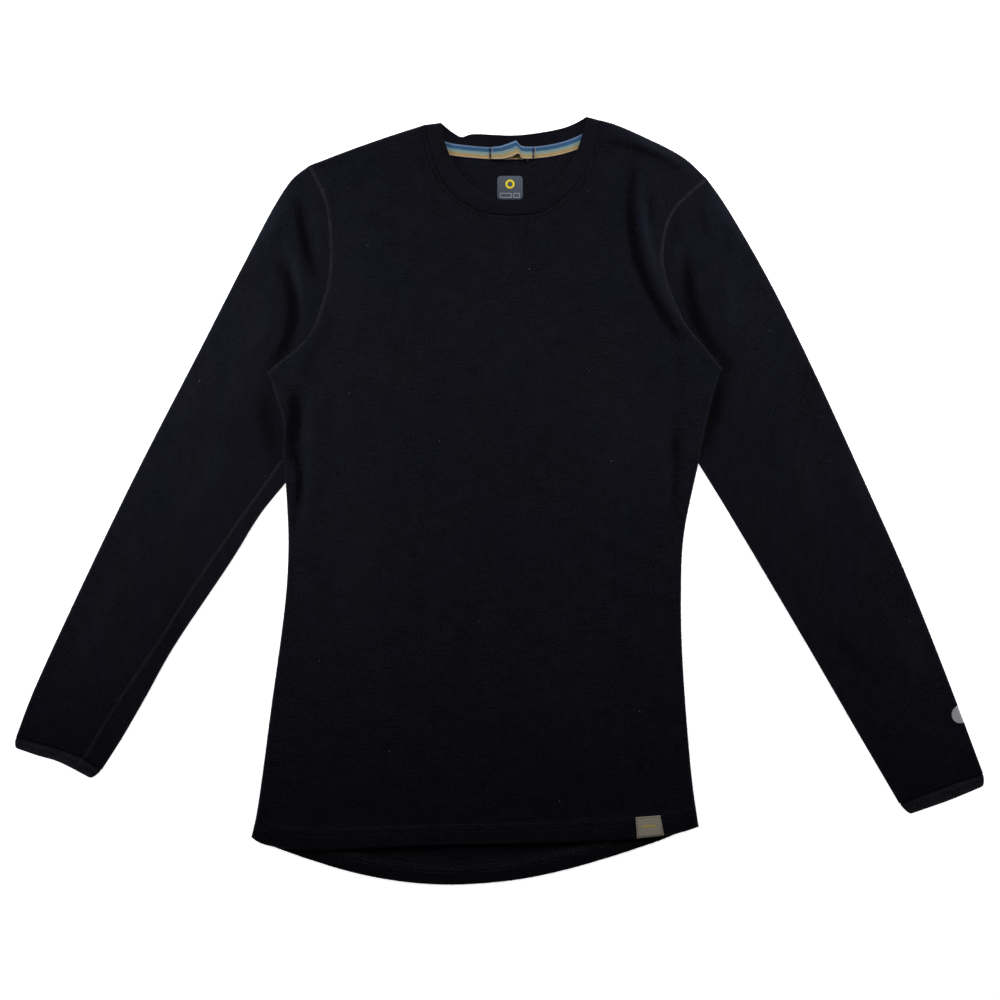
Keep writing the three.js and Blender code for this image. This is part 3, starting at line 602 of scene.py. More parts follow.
def box_mask(tree, parts, x, y, wide, tall):
    """1 inside a rectangle of a UV map in metres, with a soft edge. Its sizes are in millimetres."""
    sides = []
    for axis, middle, size in (("X", x, wide), ("Y", y, tall)):
        gap = sums(tree, "ABSOLUTE", sums(tree, "SUBTRACT", parts[axis], middle * MM))
        inside = sums(tree, "DIVIDE", sums(tree, "SUBTRACT", size * MM / 2, gap), BOX_EDGE)
        sides.append(add(tree, "ShaderNodeClamp", ((0, inside),)).outputs[0])
    return sums(tree, "MULTIPLY", *sides)


def disc_mask(tree, vector, x, y, radius):
    """1 inside a disc of a UV map in metres. Its sizes are in millimetres."""
    centre = add(tree, "ShaderNodeVectorMath", ((0, vector), (1, (x * MM, y * MM, 0))), operation="DISTANCE")
    inside = sums(tree, "DIVIDE", sums(tree, "SUBTRACT", radius * MM, centre.outputs["Value"]), DISC_EDGE)
    return add(tree, "ShaderNodeClamp", ((0, inside),)).outputs[0]


# %% Finishes of the cloth
def new_material(name, roughness, sheen=0.0, specular=0.1):
    """A material with its own Principled BSDF. Gives the material, its tree and the shader."""
    material = bpy.data.materials.new(name)
    material.use_nodes = True
    shader = material.node_tree.nodes["Principled BSDF"]
    shader.inputs["Roughness"].default_value = roughness
    shader.inputs["Specular IOR Level"].default_value = specular
    shader.inputs["Sheen Weight"].default_value = sheen
    shader.inputs["Sheen Roughness"].default_value = 0.45
    shader.inputs["Sheen Tint"].default_value = srgb(176, 182, 205)
    return material, material.node_tree, shader


def cloth_vector(tree):
    """The piece's own UV map, in metres along the cloth."""
    return add(tree, "ShaderNodeUVMap", uv_map="cloth").outputs["UV"]


def bump(tree, height, strength, depth):
    """The Normal output of a Bump node."""
    inputs = (("Height", height), ("Strength", strength), ("Distance", depth))
    return add(tree, "ShaderNodeBump", inputs).outputs["Normal"]


# %% Jersey
BLACK_WOOL, GREY_WOOL, BLUISH_WOOL = srgb(2, 2, 4), srgb(33, 32, 38), srgb(29, 32, 45)
SILVER = srgb(196, 194, 200)
SILVER_DOT = {"round": 1.5, "along": -594, "radius": 9}
JERSEY_ROUGHNESS = 0.92
DOT_GLOSS = 0.42


def jersey_material(name, dark, light, wales, slubs, dot=None):
    """Heathered jersey. wales is the knitted columns in a metre, dot a printed dot's place and radius."""
    material, tree, shader = new_material(name, JERSEY_ROUGHNESS, sheen=0.07, specular=0.06)
    vector = cloth_vector(tree)
    yarn = add(tree, "ShaderNodeGroup", node_tree=heather)
    loops = add(tree, "ShaderNodeGroup", node_tree=knit)
    for node in (yarn, loops):
        tree.links.new(vector, node.inputs["Vector"])
    yarn.inputs["Slubs"].default_value = slubs
    loops.inputs["Wales"].default_value = wales
    # The shade attribute is painted shade and highlight: it darkens the heather's tint in troughs and
    # lightens it on ridges and edges.
    painted_shading = add(tree, "ShaderNodeAttribute", attribute_name="shade").outputs["Fac"]
    tint = sums(tree, "SUBTRACT", yarn.outputs["Tint"], sums(tree, "MULTIPLY", painted_shading, 0.5))
    dyed = blend(tree, speckle(tree, vector, 11.0), light, BLUISH_WOOL)
    colour = blend(tree, tint, dark, dyed)
    if dot is not None:
        mask = disc_mask(tree, vector, *dot)
        worn = sums(tree, "MULTIPLY", mask, sums(tree, "ADD", speckle(tree, vector, 1600.0), 0.55))
        colour = blend(tree, worn, colour, SILVER)
        gloss = sums(tree, "SUBTRACT", JERSEY_ROUGHNESS, sums(tree, "MULTIPLY", mask, DOT_GLOSS))
        tree.links.new(gloss, shader.inputs["Roughness"])
    tree.links.new(colour, shader.inputs["Base Color"])
    height = sums(tree, "ADD", sums(tree, "MULTIPLY", loops.outputs["Height"], 0.25), yarn.outputs["Height"])
    tree.links.new(bump(tree, height, 0.5, 0.0004), shader.inputs["Normal"])
    return material


jersey = jersey_material("black_heather_jersey", BLACK_WOOL, GREY_WOOL, 900, 1.2)
band_jersey = jersey_material("black_band_jersey", BLACK_WOOL, GREY_WOOL, 1000, 0.8)
cuff_jersey = jersey_material("black_cuff_rib", srgb(8, 8, 11), srgb(72, 72, 78), 1000, 0.8)
printed_jersey = jersey_material("black_jersey_with_silver_dot", BLACK_WOOL, GREY_WOOL, 900, 1.2,
                                 dot=SILVER_DOT.values())


# %% Thread, fuzz and lint
def plain_material(name, dark, light, roughness, grain, specular):
    """A finish of fine grain between two colours, on Object coordinates."""
    material, tree, shader = new_material(name, roughness, specular=specular)
    vector = add(tree, "ShaderNodeTexCoord").outputs["Object"]
    tint = speckle(tree, vector, grain)
    tree.links.new(blend(tree, tint, dark, light), shader.inputs["Base Color"])
    tree.links.new(bump(tree, tint, 0.3, 0.0002), shader.inputs["Normal"])
    return material


thread_black = plain_material("black_sewing_thread", srgb(15, 15, 19), srgb(58, 59, 68), 0.6, 700, 0.3)
# Near-black thread without sheen: painted shade of the groove that the neck and cuff coverstitch is pulled
# into.
groove_shade_thread = plain_material("near_black_groove_shade_thread", srgb(1, 1, 2), srgb(7, 7, 11), 0.8, 2500, 0.0)
thread_navy = plain_material("navy_sewing_thread", srgb(14, 18, 40), srgb(38, 46, 82), 0.6, 2500, 0.3)
thread_blue = plain_material("blue_sewing_thread", srgb(50, 74, 112), srgb(98, 122, 158), 0.6, 2500, 0.3)
thread_peach = plain_material("peach_sewing_thread", srgb(190, 158, 120), srgb(236, 212, 180), 0.6, 2500, 0.3)
wool_fuzz = plain_material("wool_fuzz", srgb(24, 24, 30), srgb(66, 66, 76), 0.9, 900, 0.1)
lint = plain_material("pale_lint", srgb(120, 122, 128), srgb(208, 208, 206), 0.9, 3000, 0.1)
print("cloth and thread finishes:", len(bpy.data.materials))

# %% [markdown]
# ## Cloth as a grid
# A sheet of cloth starts as a flat grid. Its corners are laid on the garment's form, and then the whole
# face is extruded by the cloth's thickness, so the sheet is closed and has a rim. A sleeve is the same
# grid rolled into a tube: its first and last columns meet and are merged before it gets its thickness.

# %% Sheets and tubes
surfaces = {}
SHARP_DEGREES = 50
TOUCHING = 0.0000005


def finished(bm, name, material):
    """The object made from a bmesh, and a search tree of its surface for what is sewn on it."""
    surfaces[name] = BVHTree.FromBMesh(bm)
    mesh = bpy.data.meshes.new(name)
    bm.to_mesh(mesh)
    bm.free()
    mesh.materials.append(material)
    mesh.shade_smooth()
    mesh.set_sharp_from_angle(angle=math.radians(SHARP_DEGREES))
    piece = bpy.data.objects.new(name, mesh)
    scene.collection.objects.link(piece)
    print(name, len(mesh.polygons), "faces")
    return piece


def cloth_piece(name, outer, inner, uvs, material, tube=False, shade=None):
    """A sheet or tube from its outer and inner points in millimetres, by row and column."""
    rows, columns = outer.shape[:2]
    shade = np.zeros((rows, columns)) if shade is None else shade
    bm = bmesh.new()
    uv_map = bm.loops.layers.uv.new("cloth")
    number = bm.verts.layers.int.new("number")
    dark = bm.verts.layers.float.new("shade")
    bmesh.ops.create_grid(bm, x_segments=columns - 1, y_segments=rows - 1, size=0.5)
    inner, outer, uvs = (values.reshape(-1, values.shape[-1]) * MM for values in (inner, outer, uvs))
    for place, (vert, value) in enumerate(zip(bm.verts, shade.ravel())):
        vert[number], vert[dark] = place, value
        vert.co = inner[place]
    for face in bm.faces:
        for corner in face.loops:
            corner[uv_map].uv = uvs[corner.vert[number]]
    if tube:
        bmesh.ops.remove_doubles(bm, verts=bm.verts[:], dist=TOUCHING)
    made = bmesh.ops.extrude_face_region(bm, geom=bm.faces[:], use_keep_orig=True)
    for item in made["geom"]:
        if isinstance(item, bmesh.types.BMVert):
            item.co = outer[item[number]]
    bmesh.ops.recalc_face_normals(bm, faces=bm.faces[:])
    bm.verts.layers.int.remove(bm.verts.layers.int["number"])
    return finished(bm, name, material)


def with_height(points, height):
    """Flat points with their heights."""
    return np.concatenate([points, height[..., None]], -1)


# %% Rows and columns of a panel
EDGE_STEPS = (0, 0.3, 0.7, 1.2, 1.9, 3)
EDGE_CLEAR = 1.2 * EDGE_STEPS[-1]
GRAIN = 3.2


def places(stops, length, spacing):
    """Shares of a length: every stop, even steps between them, and close steps at both ends."""
    runs = [np.linspace(a, b, max(2, round((b - a) * length / spacing) + 1))
            for a, b in zip(stops, stops[1:])]
    inner = np.unique(np.concatenate(runs))
    near = np.array(EDGE_STEPS) / length
    inner = inner[np.minimum(inner, 1 - inner) > EDGE_CLEAR / length]
    return np.concatenate([near, inner, 1 - near[::-1]])


# %% [markdown]
# ## Front and back
# The front is one cut from the neck seam to the hem. Its sides and shoulders are soft folds that roll
# down to the table round the back, its neck and armholes are cut edges under the seams, and its hem is
# turned inside, which makes the cloth twice as thick there. The back is longer and lies flat on the table.


def keep_cut(name, outline, rests_on, layers=1, axis=(0.0, 1.0)):
    """Prints the flat cut of a piece from its outline in millimetres."""
    x, y = outline[:, 0], outline[:, 1]
    area = abs(np.sum(x * np.roll(y, -1) - y * np.roll(x, -1))) / 2
    axis = np.array(axis) / math.hypot(*axis)
    tall = np.ptp(outline @ axis)
    wide = np.ptp(outline @ np.array([axis[1], -axis[0]]))
    keep_size(name, wide * layers, tall, area * layers, rests_on)


def keep_size(name, wide, tall, area, rests_on):
    """The same for a cut whose size is known, in millimetres and square millimetres."""
    print(name, "cut", round(wide), "by", round(tall), "mm,", round(area / 100), "square centimetres")


# %% What both panels share
def panel_area(left, right, hem, top):
    """The surface of a panel between its hem, its sides and its shoulders and neck."""
    across_marks = marks_of(top)
    up_marks = (marks_of(left) + marks_of(right)) / 2
    bottom = along(hem, marks_of(hem), across_marks)
    return patch(bottom, top, left, right, across_marks, up_marks, PANEL["fade"]), across_marks, up_marks


def turned_hem(up):
    """1 where the hem is turned inside, and 0 above it."""
    return eased((HEM_DEPTH + HEM_STEP - up * PANEL["tall"]) / HEM_STEP)


def rounded(gap, radius, start):
    """The share of its full height that a fold has near its edge."""
    return mix(start, 1, np.sqrt(1 - (1 - np.clip(gap / radius, 0, 1)) ** 2))


def edge_of(line):
    """One edge of the body, from its hem to its shoulder."""
    return joined(line["side"], line["fold"], line["armhole_low"], line["armhole_high"])


# %% Front
EDGE_PAINTED_HIGHLIGHT = 0.8
EDGE_HIGHLIGHT_REACH = 3
FRONT_ROLL = {"radius": 2.2, "start": 0.42, "under": 0.7, "over": 1.4}
NOTCH_BLEND = 12
NECK_BLEND = 5
SEAM_CLEAR = 40


def front_shell():
    """The front's cloth."""
    top = joined(SHOULDERS[0], NECK_LINES["front_seam"], SHOULDERS[1])
    left, right = edge_of(LINES["left"]), edge_of(LINES["right"])
    keep_cut("front_cloth", np.vstack([HEM_LINES["front"], right, top[::-1], left[::-1]]), ("back_cloth",))
    at, across_marks, up_marks = panel_area(left, right, HEM_LINES["front"], top)
    neck_start = across_marks[STEPS["shoulder"]]
    neck_end = across_marks[STEPS["shoulder"] + STEPS["neck"]]
    notch = up_marks[STEPS["side"]]
    corner = up_marks[STEPS["side"] + STEPS["fold"]]
    hem_top = HEM_DEPTH / PANEL["tall"]
    across = places((0, neck_start, neck_end, 1), PANEL["wide"], GRAIN)[None, :]
    stops = (0, hem_top, hem_top + HEM_STEP / PANEL["tall"], notch, corner, 1)
    up = places(stops, PANEL["tall"], GRAIN)[:, None]
    points = at(across, up)
    from_side = np.minimum(across, 1 - across) * PANEL["wide"]
    from_top = (1 - up) * PANEL["tall"]
    from_hem = up * PANEL["tall"]
    bottom = front_bottom(points, eased(from_side / HELD) * eased(from_top / HELD))
    top = bottom + WALL * (1 + turned_hem(up))
    on_side = eased((notch - up) * PANEL["tall"] / NOTCH_BLEND)
    beside_neck = np.maximum(neck_start - across, across - neck_end) * PANEL["wide"]
    on_shoulder = eased(beside_neck / NECK_BLEND)
    rolls = ((from_side, on_side), (from_top, on_shoulder), (from_hem, 1.0))
    for gap, share in rolls:
        top = np.minimum(top, mix(top, top * rounded(gap, FRONT_ROLL["radius"], FRONT_ROLL["start"]), share))
    for gap, share in rolls[:2]:
        rolled = mix(REST_GAP, bottom, eased((gap - FRONT_ROLL["under"]) / FRONT_ROLL["over"]))
        bottom = np.minimum(bottom, mix(bottom, rolled, share))
    gap = np.minimum(from_side, np.minimum(from_hem, from_top + SEAM_CLEAR * (1 - on_shoulder)))
    # Painted shade in the troughs, and painted highlights on the ridges and along the rolled edges.
    shade = worn(FRONT_TROUGHS, FRONT_FOLDS, points) - EDGE_PAINTED_HIGHLIGHT * fading(gap, 0, EDGE_HIGHLIGHT_REACH)
    shell = (with_height(points, top), with_height(points, bottom))
    return cloth_piece("front_cloth", *shell, points, jersey, shade=shade)


front_cloth = front_shell()

# %% Back
BACK_GRAIN = {"across": 2 * GRAIN, "up": 1.6 * GRAIN}
BACK_CORNER = {"steps": 4, "cut": 0.1}
BACK_ROLL = {"radius": 1.6, "start": 0.5}
BACK_WAVE = {"high": 0.08, "size": 14, "seed": 3}
LAST_STOP = 0.9


def back_shell():
    """The back's cloth, whose inside shows in the neck and below the front hem."""
    edges = []
    for line in LINES.values():
        side = moved(line["side"], BACK_INSET * line["outward"])
        edges.append(np.vstack([side, joined(line["hidden_cap"], line["armhole_high"])]))
    shoulders = [moved(line, -BACK_INSET) for line in SHOULDERS]
    top = np.vstack([shoulders[0][:-1], NECK_LINES["back_seam"], shoulders[1][1:]])
    steps, cut = BACK_CORNER["steps"], BACK_CORNER["cut"]
    top[0], top[-1] = mix(top[0], top[steps], cut), mix(top[-1], top[-1 - steps], cut)
    edges[0][-1], edges[1][-1] = top[0], top[-1]
    keep_cut("back_cloth", np.vstack([HEM_LINES["back"], edges[1], top[::-1], edges[0][::-1]]), ())
    at, across_marks, up_marks = panel_area(*edges, HEM_LINES["back"], top)
    neck_start = across_marks[STEPS["shoulder"]]
    neck_end = across_marks[STEPS["shoulder"] + STEPS["neck"]]
    across = places((0, neck_start, neck_end, 1), PANEL["wide"], BACK_GRAIN["across"])[None, :]
    hem_top = HEM_DEPTH / PANEL["tall"]
    stops = (0, hem_top, hem_top + HEM_STEP / PANEL["tall"], up_marks[STEPS["side"]], LAST_STOP, 1)
    up = places(stops, PANEL["tall"], BACK_GRAIN["up"])[:, None]
    points = at(across, up)
    top_height = WALL * (1 + turned_hem(up))
    top_height = top_height * rounded(up * PANEL["tall"], BACK_ROLL["radius"], BACK_ROLL["start"])
    waves = BACK_WAVE["high"] * ripple(points, BACK_WAVE["size"], BACK_WAVE["seed"])
    top_height = np.broadcast_to(top_height, points.shape[:-1]) + waves
    bottom = np.zeros(points.shape[:-1])
    shell = (with_height(points, top_height), with_height(points, bottom))
    return cloth_piece("back_cloth", *shell, points, jersey)


back_cloth = back_shell()

# %% [markdown]
# ## Sleeves, cuffs and neckband
# Each is a tube pressed flat: two layers that meet at two round folds. A section of it is a ring of
# points, close together on the round of the folds. The cuffs and the neckband are doubled cloth, so they
# are thicker and springier.

# %% Sections of a flat tube
ROUND_STEPS = 5


def flat_section(upper, lower, length, radius, wall, height, rise, count):
    """One ring of outer and inner points. height gives its top side, and rise its side towards the table."""
    turns = np.linspace(0, math.pi / 2, ROUND_STEPS + 1)
    folds = radius * (1 - np.cos(turns)) / length
    clear = folds[-1] + 1 / length
    half = np.concatenate([folds, np.linspace(clear, 1 - clear, count), 1 - folds[::-1]])
    share = np.concatenate([half, half[-2::-1]])
    is_upper = np.arange(len(share)) < len(half)
    gap = np.minimum(share, 1 - share) * length
    depth = np.maximum(0, 1 - gap / radius)
    inset = (gap + wall * depth) / length
    inset = np.where(share < 0.5, inset, 1 - inset)

    def ring(shares, bulge, thick):
        middle = (height(shares) + rise(shares)) / 2
        reach = ((height(shares) - rise(shares)) / 2 - thick) * bulge
        points = np.where(is_upper[:, None], upper(shares), lower(shares))
        return with_height(points, np.where(is_upper, middle + reach, middle - reach))

    round_to = np.sqrt(1 - (1 - np.clip(gap / radius, 0, 1)) ** 2)
    return ring(share, round_to, 0), ring(inset, np.sqrt(1 - depth**2), wall)


def stacked(sections):
    """Rings as one array of outer points and one of inner points."""
    return [np.stack(rings) for rings in zip(*sections)]


def opened(outer, inner):
    """Rings that start and end at the second fold, and the place of the first fold in them."""
    half = outer.shape[1] // 2
    return *[np.concatenate([ring[:, half:-1], ring[:, :half + 1]], 1) for ring in (outer, inner)], half


def unrolled(outer, half, reach):
    """The UV map of a tube in millimetres: round it from its first fold, and along it."""
    steps = np.linalg.norm(np.diff(outer, axis=1), axis=-1)
    round_it = np.concatenate([np.zeros((len(outer), 1)), np.cumsum(steps, 1)], 1)
    down = np.linspace(0, reach, len(outer))[:, None]
    return np.stack(np.broadcast_arrays(round_it - round_it[:, half:half + 1], -down), -1)


# %% Sleeves
SLEEVE = {"crown": 0.5, "crown_reach": 40, "end_reach": 16, "fold_reach": 12, "covered": 25, "highlight_reach": 4}
COVER_TOP = 190
SLEEVE_ROWS, SLEEVE_COLUMNS = 190, 56
SLEEVE_END = 0.006
OUTLINE_STEPS = 60


def sleeve_area(side):
    """The flat surface of a sleeve between its cap, its cuff and its two folds."""
    line = LINES[side]
    outward = line["outward"]
    cap = moved(joined(line["hidden_cap"], line["armhole_high"]), SEAM_OVERLAP * outward)[::-1]
    cuff_line = smooth(SLEEVES[side]["cuff_top"], STEPS["cuff"])
    marks = marks_of(cap)
    end = along(cuff_line, marks_of(cuff_line), mix(SLEEVE_END, 1 - SLEEVE_END, marks))
    end = moved(end, SEAM_OVERLAP * outward)
    outer = smooth([cap[0], *SLEEVES[side]["outer"], end[0]], STEPS["sleeve"])
    inner = smooth([cap[-1], *SLEEVES[side]["inner"], end[-1]], STEPS["sleeve"])
    up_marks = (marks_of(outer) + marks_of(inner)) / 2
    return patch(cap, end, outer, inner, marks, up_marks, 1), length_of(outer)


def sleeve_shell(side, seed):
    """A sleeve's cloth."""
    line = LINES[side]
    at, reach = sleeve_area(side)
    sections = []
    for along_sleeve in np.linspace(0, 1, SLEEVE_ROWS + 1):
        ends = at(np.array([0.0, 1.0]), along_sleeve)
        length = np.linalg.norm(ends[1] - ends[0])
        from_end = min(along_sleeve, 1 - along_sleeve) * reach

        def height(share):
            points = at(share, along_sleeve)
            from_fold = np.minimum(share, 1 - share) * length
            cover = np.interp(points[:, 1], line["cover"][:, 1], line["cover"][:, 0])
            outside = (points[:, 0] - cover) * line["outward"]
            free = np.maximum(eased((points[:, 1] - COVER_TOP) / SLEEVE["covered"]),
                              eased((outside - SLEEVE["covered"]) / SLEEVE["covered"]))
            crown = SLEEVE["crown"] * eased(from_fold / SLEEVE["crown_reach"])
            folds = fold_height(SLEEVE_FOLDS[side] + SLEEVE_TROUGHS[side], points)
            folds = np.maximum(DEEPEST_TROUGH, folds + crown + uneven(points, seed))
            held = eased(from_end / SLEEVE["end_reach"]) * eased(from_fold / SLEEVE["fold_reach"])
            return FLAT_HEIGHT + folds * free * held

        def layer(share):
            return at(share, along_sleeve)

        sections.append(flat_section(layer, layer, length, FLAT_HEIGHT / 2, WALL, height,
                                     lambda share: np.zeros(share.shape), SLEEVE_COLUMNS))
    outer, inner, half = opened(*stacked(sections))
    uvs = unrolled(outer, half, reach)
    folded = np.linalg.norm(outer[..., :2] - outer[:, half:half + 1, :2], axis=-1)
    other = np.linalg.norm(outer[..., :2] - outer[:, :1, :2], axis=-1)
    # Painted shade in the troughs, and painted highlights on the ridges and along the two folded edges.
    shade = worn(SLEEVE_TROUGHS[side], SLEEVE_FOLDS[side], outer[..., :2])
    shade -= EDGE_PAINTED_HIGHLIGHT * fading(np.minimum(folded, other), 0, SLEEVE["highlight_reach"])
    name = f"sleeve_cloth_{side}"
    steps = np.linspace(0, 1, OUTLINE_STEPS)
    outline = np.vstack([at(steps, 0.0), at(1.0, steps), at(steps[::-1], 1.0), at(0.0, steps[::-1])])
    keep_cut(name, outline, ("back_cloth",), layers=2, axis=at(0.5, 0.0) - at(0.5, 1.0))
    return cloth_piece(name, outer, inner, uvs, sleeve_jersey[side], tube=True, shade=shade)


sleeve_jersey = {"left": jersey, "right": printed_jersey}
sleeve_cloths = {side: sleeve_shell(side, seed) for side, seed in (("left", 21), ("right", 33))}

# %% Cuffs
CUFF_ROWS = (0, 0.04, 0.12, 0.3, 0.5, 0.7, 0.86, 0.95, 1)
CUFF_SHADE = (1, 0.9, 0.3, 0, 0.35, 0, -0.1, -0.5, -0.5)
CUFF_COLUMNS = 70
CUFF_THIN, CUFF_SWELL = 0.86, 0.4
CUFF_CORNER, CORNER_ROUND = 2.2, 3


def cuff_shade(count):
    """Painted shadow at a cuff's seam, a faint painted shade line along its middle, and a painted highlight
    at its fold.
    """
    return np.broadcast_to(np.array(CUFF_SHADE)[:, None], (len(CUFF_SHADE), count))


def cuff_shell(side):
    """A cuff's doubled band, which swells a little between its seam and its folded end."""
    rows = SLEEVES[side]
    top, end = (smooth(rows[name], STEPS["cuff"]) for name in ("cuff_top", "cuff_end"))
    sections = []
    for along_cuff in CUFF_ROWS:
        line = mix(top, end, along_cuff)
        marks = marks_of(line)
        length = np.linalg.norm(line[-1] - line[0])
        thin = mix(CUFF_THIN, 1, math.sin(math.pi * along_cuff) ** CUFF_SWELL)
        height = CUFF_HEIGHT * thin
        low = (CUFF_HEIGHT - height) / 2
        pinch = CUFF_CORNER * (1 - math.sqrt(1 - abs(2 * along_cuff - 1) ** CORNER_ROUND)) / length

        def layer(share):
            return along(line, marks, mix(pinch, 1 - pinch, share))

        sections.append(flat_section(
            layer, layer, length, CUFF_HEIGHT / 2, BAND_WALL * thin,
            lambda share: np.full(share.shape, low + height), lambda share: np.full(share.shape, low),
            CUFF_COLUMNS))
    outer, inner, half = opened(*stacked(sections))
    middle = STEPS["cuff"] // 2
    deep = np.linalg.norm(end[middle] - top[middle])
    uvs = unrolled(outer, half, deep)
    name = f"cuff_cloth_{side}"
    widths = np.abs(uvs[:, -1, 0] - uvs[:, 0, 0])
    keep_size(name, widths.max(), deep, widths.mean() * deep, (f"sleeve_cloth_{side}",))
    shade = cuff_shade(outer.shape[1])
    return cloth_piece(name, outer, inner, uvs, cuff_jersey, tube=True, shade=shade)


cuff_cloths = {side: cuff_shell(side) for side in ("left", "right")}

# %% Neckband
FOLD_SHARE = 0.3
BAND_ROWS = np.array([0, 0.03, 0.09, 0.2, 0.35, 0.5, 0.65, 0.8, 0.91, 0.97, 1])
BAND_COLUMNS = 130
BAND_SWELL, BAND_PINCH, PINCH_POWER = 0.25, 0.35, 6
BAND_PAINTED_SHADE = {"dark": 0.9, "full": 5, "none": 11}


def neckband_shell():
    """The doubled band round the neck: its front half over the neck seam, its back half behind."""
    front = moved(NECK_LINES["front_seam"], NECK_GROOVE), NECK_LINES["front_free"]
    back = moved(NECK_LINES["back_seam"], -SEAM_OVERLAP), NECK_LINES["back_free"]
    length = length_of(front[0])
    sections = []
    for along_band in BAND_ROWS:
        def layer(lines):
            line = mix(*lines, along_band)
            return lambda share: along(line, NECK_MARKS, share)

        def at_fold(share):
            return fading(np.minimum(share, 1 - share), 0, FOLD_SHARE)

        puffed = math.sin(math.pi * along_band)
        swell = BAND_SWELL * puffed - BAND_PINCH * (1 - puffed) ** PINCH_POWER

        def height(share):
            return mix(NECK_HEIGHT["front"], NECK_HEIGHT["fold"], at_fold(share)) \
                + NECK_HEIGHT["free_edge"] * along_band + swell

        def rise(share):
            return NECK_HEIGHT["behind"] * along_band * (1 - at_fold(share)) ** 2

        sections.append(flat_section(layer(front), layer(back), length, NECK_HEIGHT["fold"] / 2,
                                     BAND_WALL, height, rise, BAND_COLUMNS))
    outer, inner = stacked(sections)
    all_round = length + length_of(back[0])
    keep_size("neckband_cloth", all_round, BAND_DEPTH, BAND_DEPTH * all_round, ("front_cloth", "back_cloth"))
    run = np.linspace(0, 2 * length, outer.shape[1])
    uvs = np.stack(np.broadcast_arrays(run[None, :], BAND_DEPTH * BAND_ROWS[:, None]), -1)
    # Painted shade on the back half beside the two folds, where they shade it.
    columns = np.arange(outer.shape[1]) - outer.shape[1] // 2
    from_fold = np.where(columns > 0, np.minimum(columns, columns[-1] - columns), np.inf)
    painted_shading = BAND_PAINTED_SHADE["dark"] * fading(from_fold, BAND_PAINTED_SHADE["full"], BAND_PAINTED_SHADE["none"])
    shade = np.broadcast_to(painted_shading, outer.shape[:2])
    return cloth_piece("neckband_cloth", outer, inner, uvs, band_jersey, tube=True, shade=shade)


neckband_cloth = neckband_shell()

# %% [markdown]
# ## Striped tape and hang loop
# A woven tape covers the back neck seam, and a short length of it bows out as a loop to hang the top by.
# The stripes run along the tape, so they are bands across its UV map, with the fine ribs of the weave as
# bump.

# %% Tape finish: where each stripe starts, as a share of the width from the lower edge, and its colour
STRIPES = (
    (0.00, srgb(250, 222, 182)),
    (0.10, srgb(232, 190, 116)),
    (0.23, srgb(220, 204, 156)),
    (0.33, srgb(204, 218, 196)),
    (0.42, srgb(176, 210, 216)),
    (0.58, srgb(76, 132, 172)),
    (0.72, srgb(68, 120, 176)),
    (0.87, srgb(160, 192, 236)),
)
STRIPE_BLUR = 0.012
TAPE_RIB = 0.7
TAPE_SHADOW = srgb(30, 34, 42)


def tape_material():
    """Stripes from the lower edge up, with a ribbed weave."""
    material, tree, shader = new_material("striped_woven_tape", 0.75, sheen=0.1, specular=0.2)
    vector = cloth_vector(tree)
    parts = add(tree, "ShaderNodeSeparateXYZ", ((0, vector),)).outputs
    wander = sums(tree, "MULTIPLY", sums(tree, "SUBTRACT", speckle(tree, vector, 900.0), 0.5), 0.07)
    share = sums(tree, "ADD", sums(tree, "DIVIDE", parts["Y"], TAPE_WIDTH * MM), wander)
    ramp = add(tree, "ShaderNodeValToRGB", (("Fac", share),))
    ramp.color_ramp.interpolation = "LINEAR"
    stops = ramp.color_ramp.elements
    keys = [STRIPES[0]]
    for (_, before), (place, after) in zip(STRIPES, STRIPES[1:]):
        keys += [(place - STRIPE_BLUR, before), (place + STRIPE_BLUR, after)]
    while len(stops) < len(keys):
        stops.new(0.5)
    for stop, (place, colour) in zip(stops, keys):
        stop.position, stop.color = place, colour
    ribs = sums(tree, "SINE", sums(tree, "MULTIPLY", parts["X"], 2 * math.pi / (TAPE_RIB * MM)))
    worn = speckle(tree, scaled(tree, vector, (300, 1800, 1)), 1.0)
    shade = sums(tree, "ADD", sums(tree, "MULTIPLY", ribs, 0.06), sums(tree, "MULTIPLY", worn, 0.5))
    colour = blend(tree, shade, ramp.outputs["Color"], TAPE_SHADOW)
    tree.links.new(colour, shader.inputs["Base Color"])
    tree.links.new(bump(tree, sums(tree, "ADD", ribs, worn), 0.5, 0.00025), shader.inputs["Normal"])
    return material


tape_weave = tape_material()

# %% Tape: its height over the table at distances above the neck seam
TAPE_FORM = ((TAPE_ABOVE_SEAM - TAPE_WIDTH, WALL + REST_GAP), (-4.5, WALL + REST_GAP + 0.1),
             (-1.5, BAND_WALL + REST_GAP - 0.1), (1, BAND_WALL + REST_GAP + 0.2),
             (TAPE_ABOVE_SEAM, BAND_WALL + REST_GAP + 0.75))
TAPE_END = 1.4 / 16
TAPE_ROWS = TAPE_WIDTH * np.array([0, 0.03, *np.linspace(0.1, 0.9, 9), 0.97, 1])
TAPE_COLUMNS = 150
TAPE_RIPPLE, TAPE_WAVES, TAPE_HELD = 0.06, 90, 6


def tape_shape(share, arch, bow):
    """Points of the tape at shares of the back neck seam: the flat places and the underside."""
    seam = NECK_LINES["back_seam"]
    line = along(seam, NECK_MARKS, share)
    above = TAPE_ABOVE_SEAM - TAPE_WIDTH + TAPE_ROWS
    form = np.array(TAPE_FORM)
    bottom = np.interp(above, form[:, 0], form[:, 1])[:, None] + arch[None, :]
    points = np.stack([moved(line, value) for value in above])
    points[..., 1] += bow
    run = np.concatenate([[0], np.cumsum(np.linalg.norm(np.diff(line, axis=0), axis=1))])
    uvs = np.stack(np.broadcast_arrays(run[None, :], TAPE_ROWS[:, None]), -1)
    return points, bottom, uvs


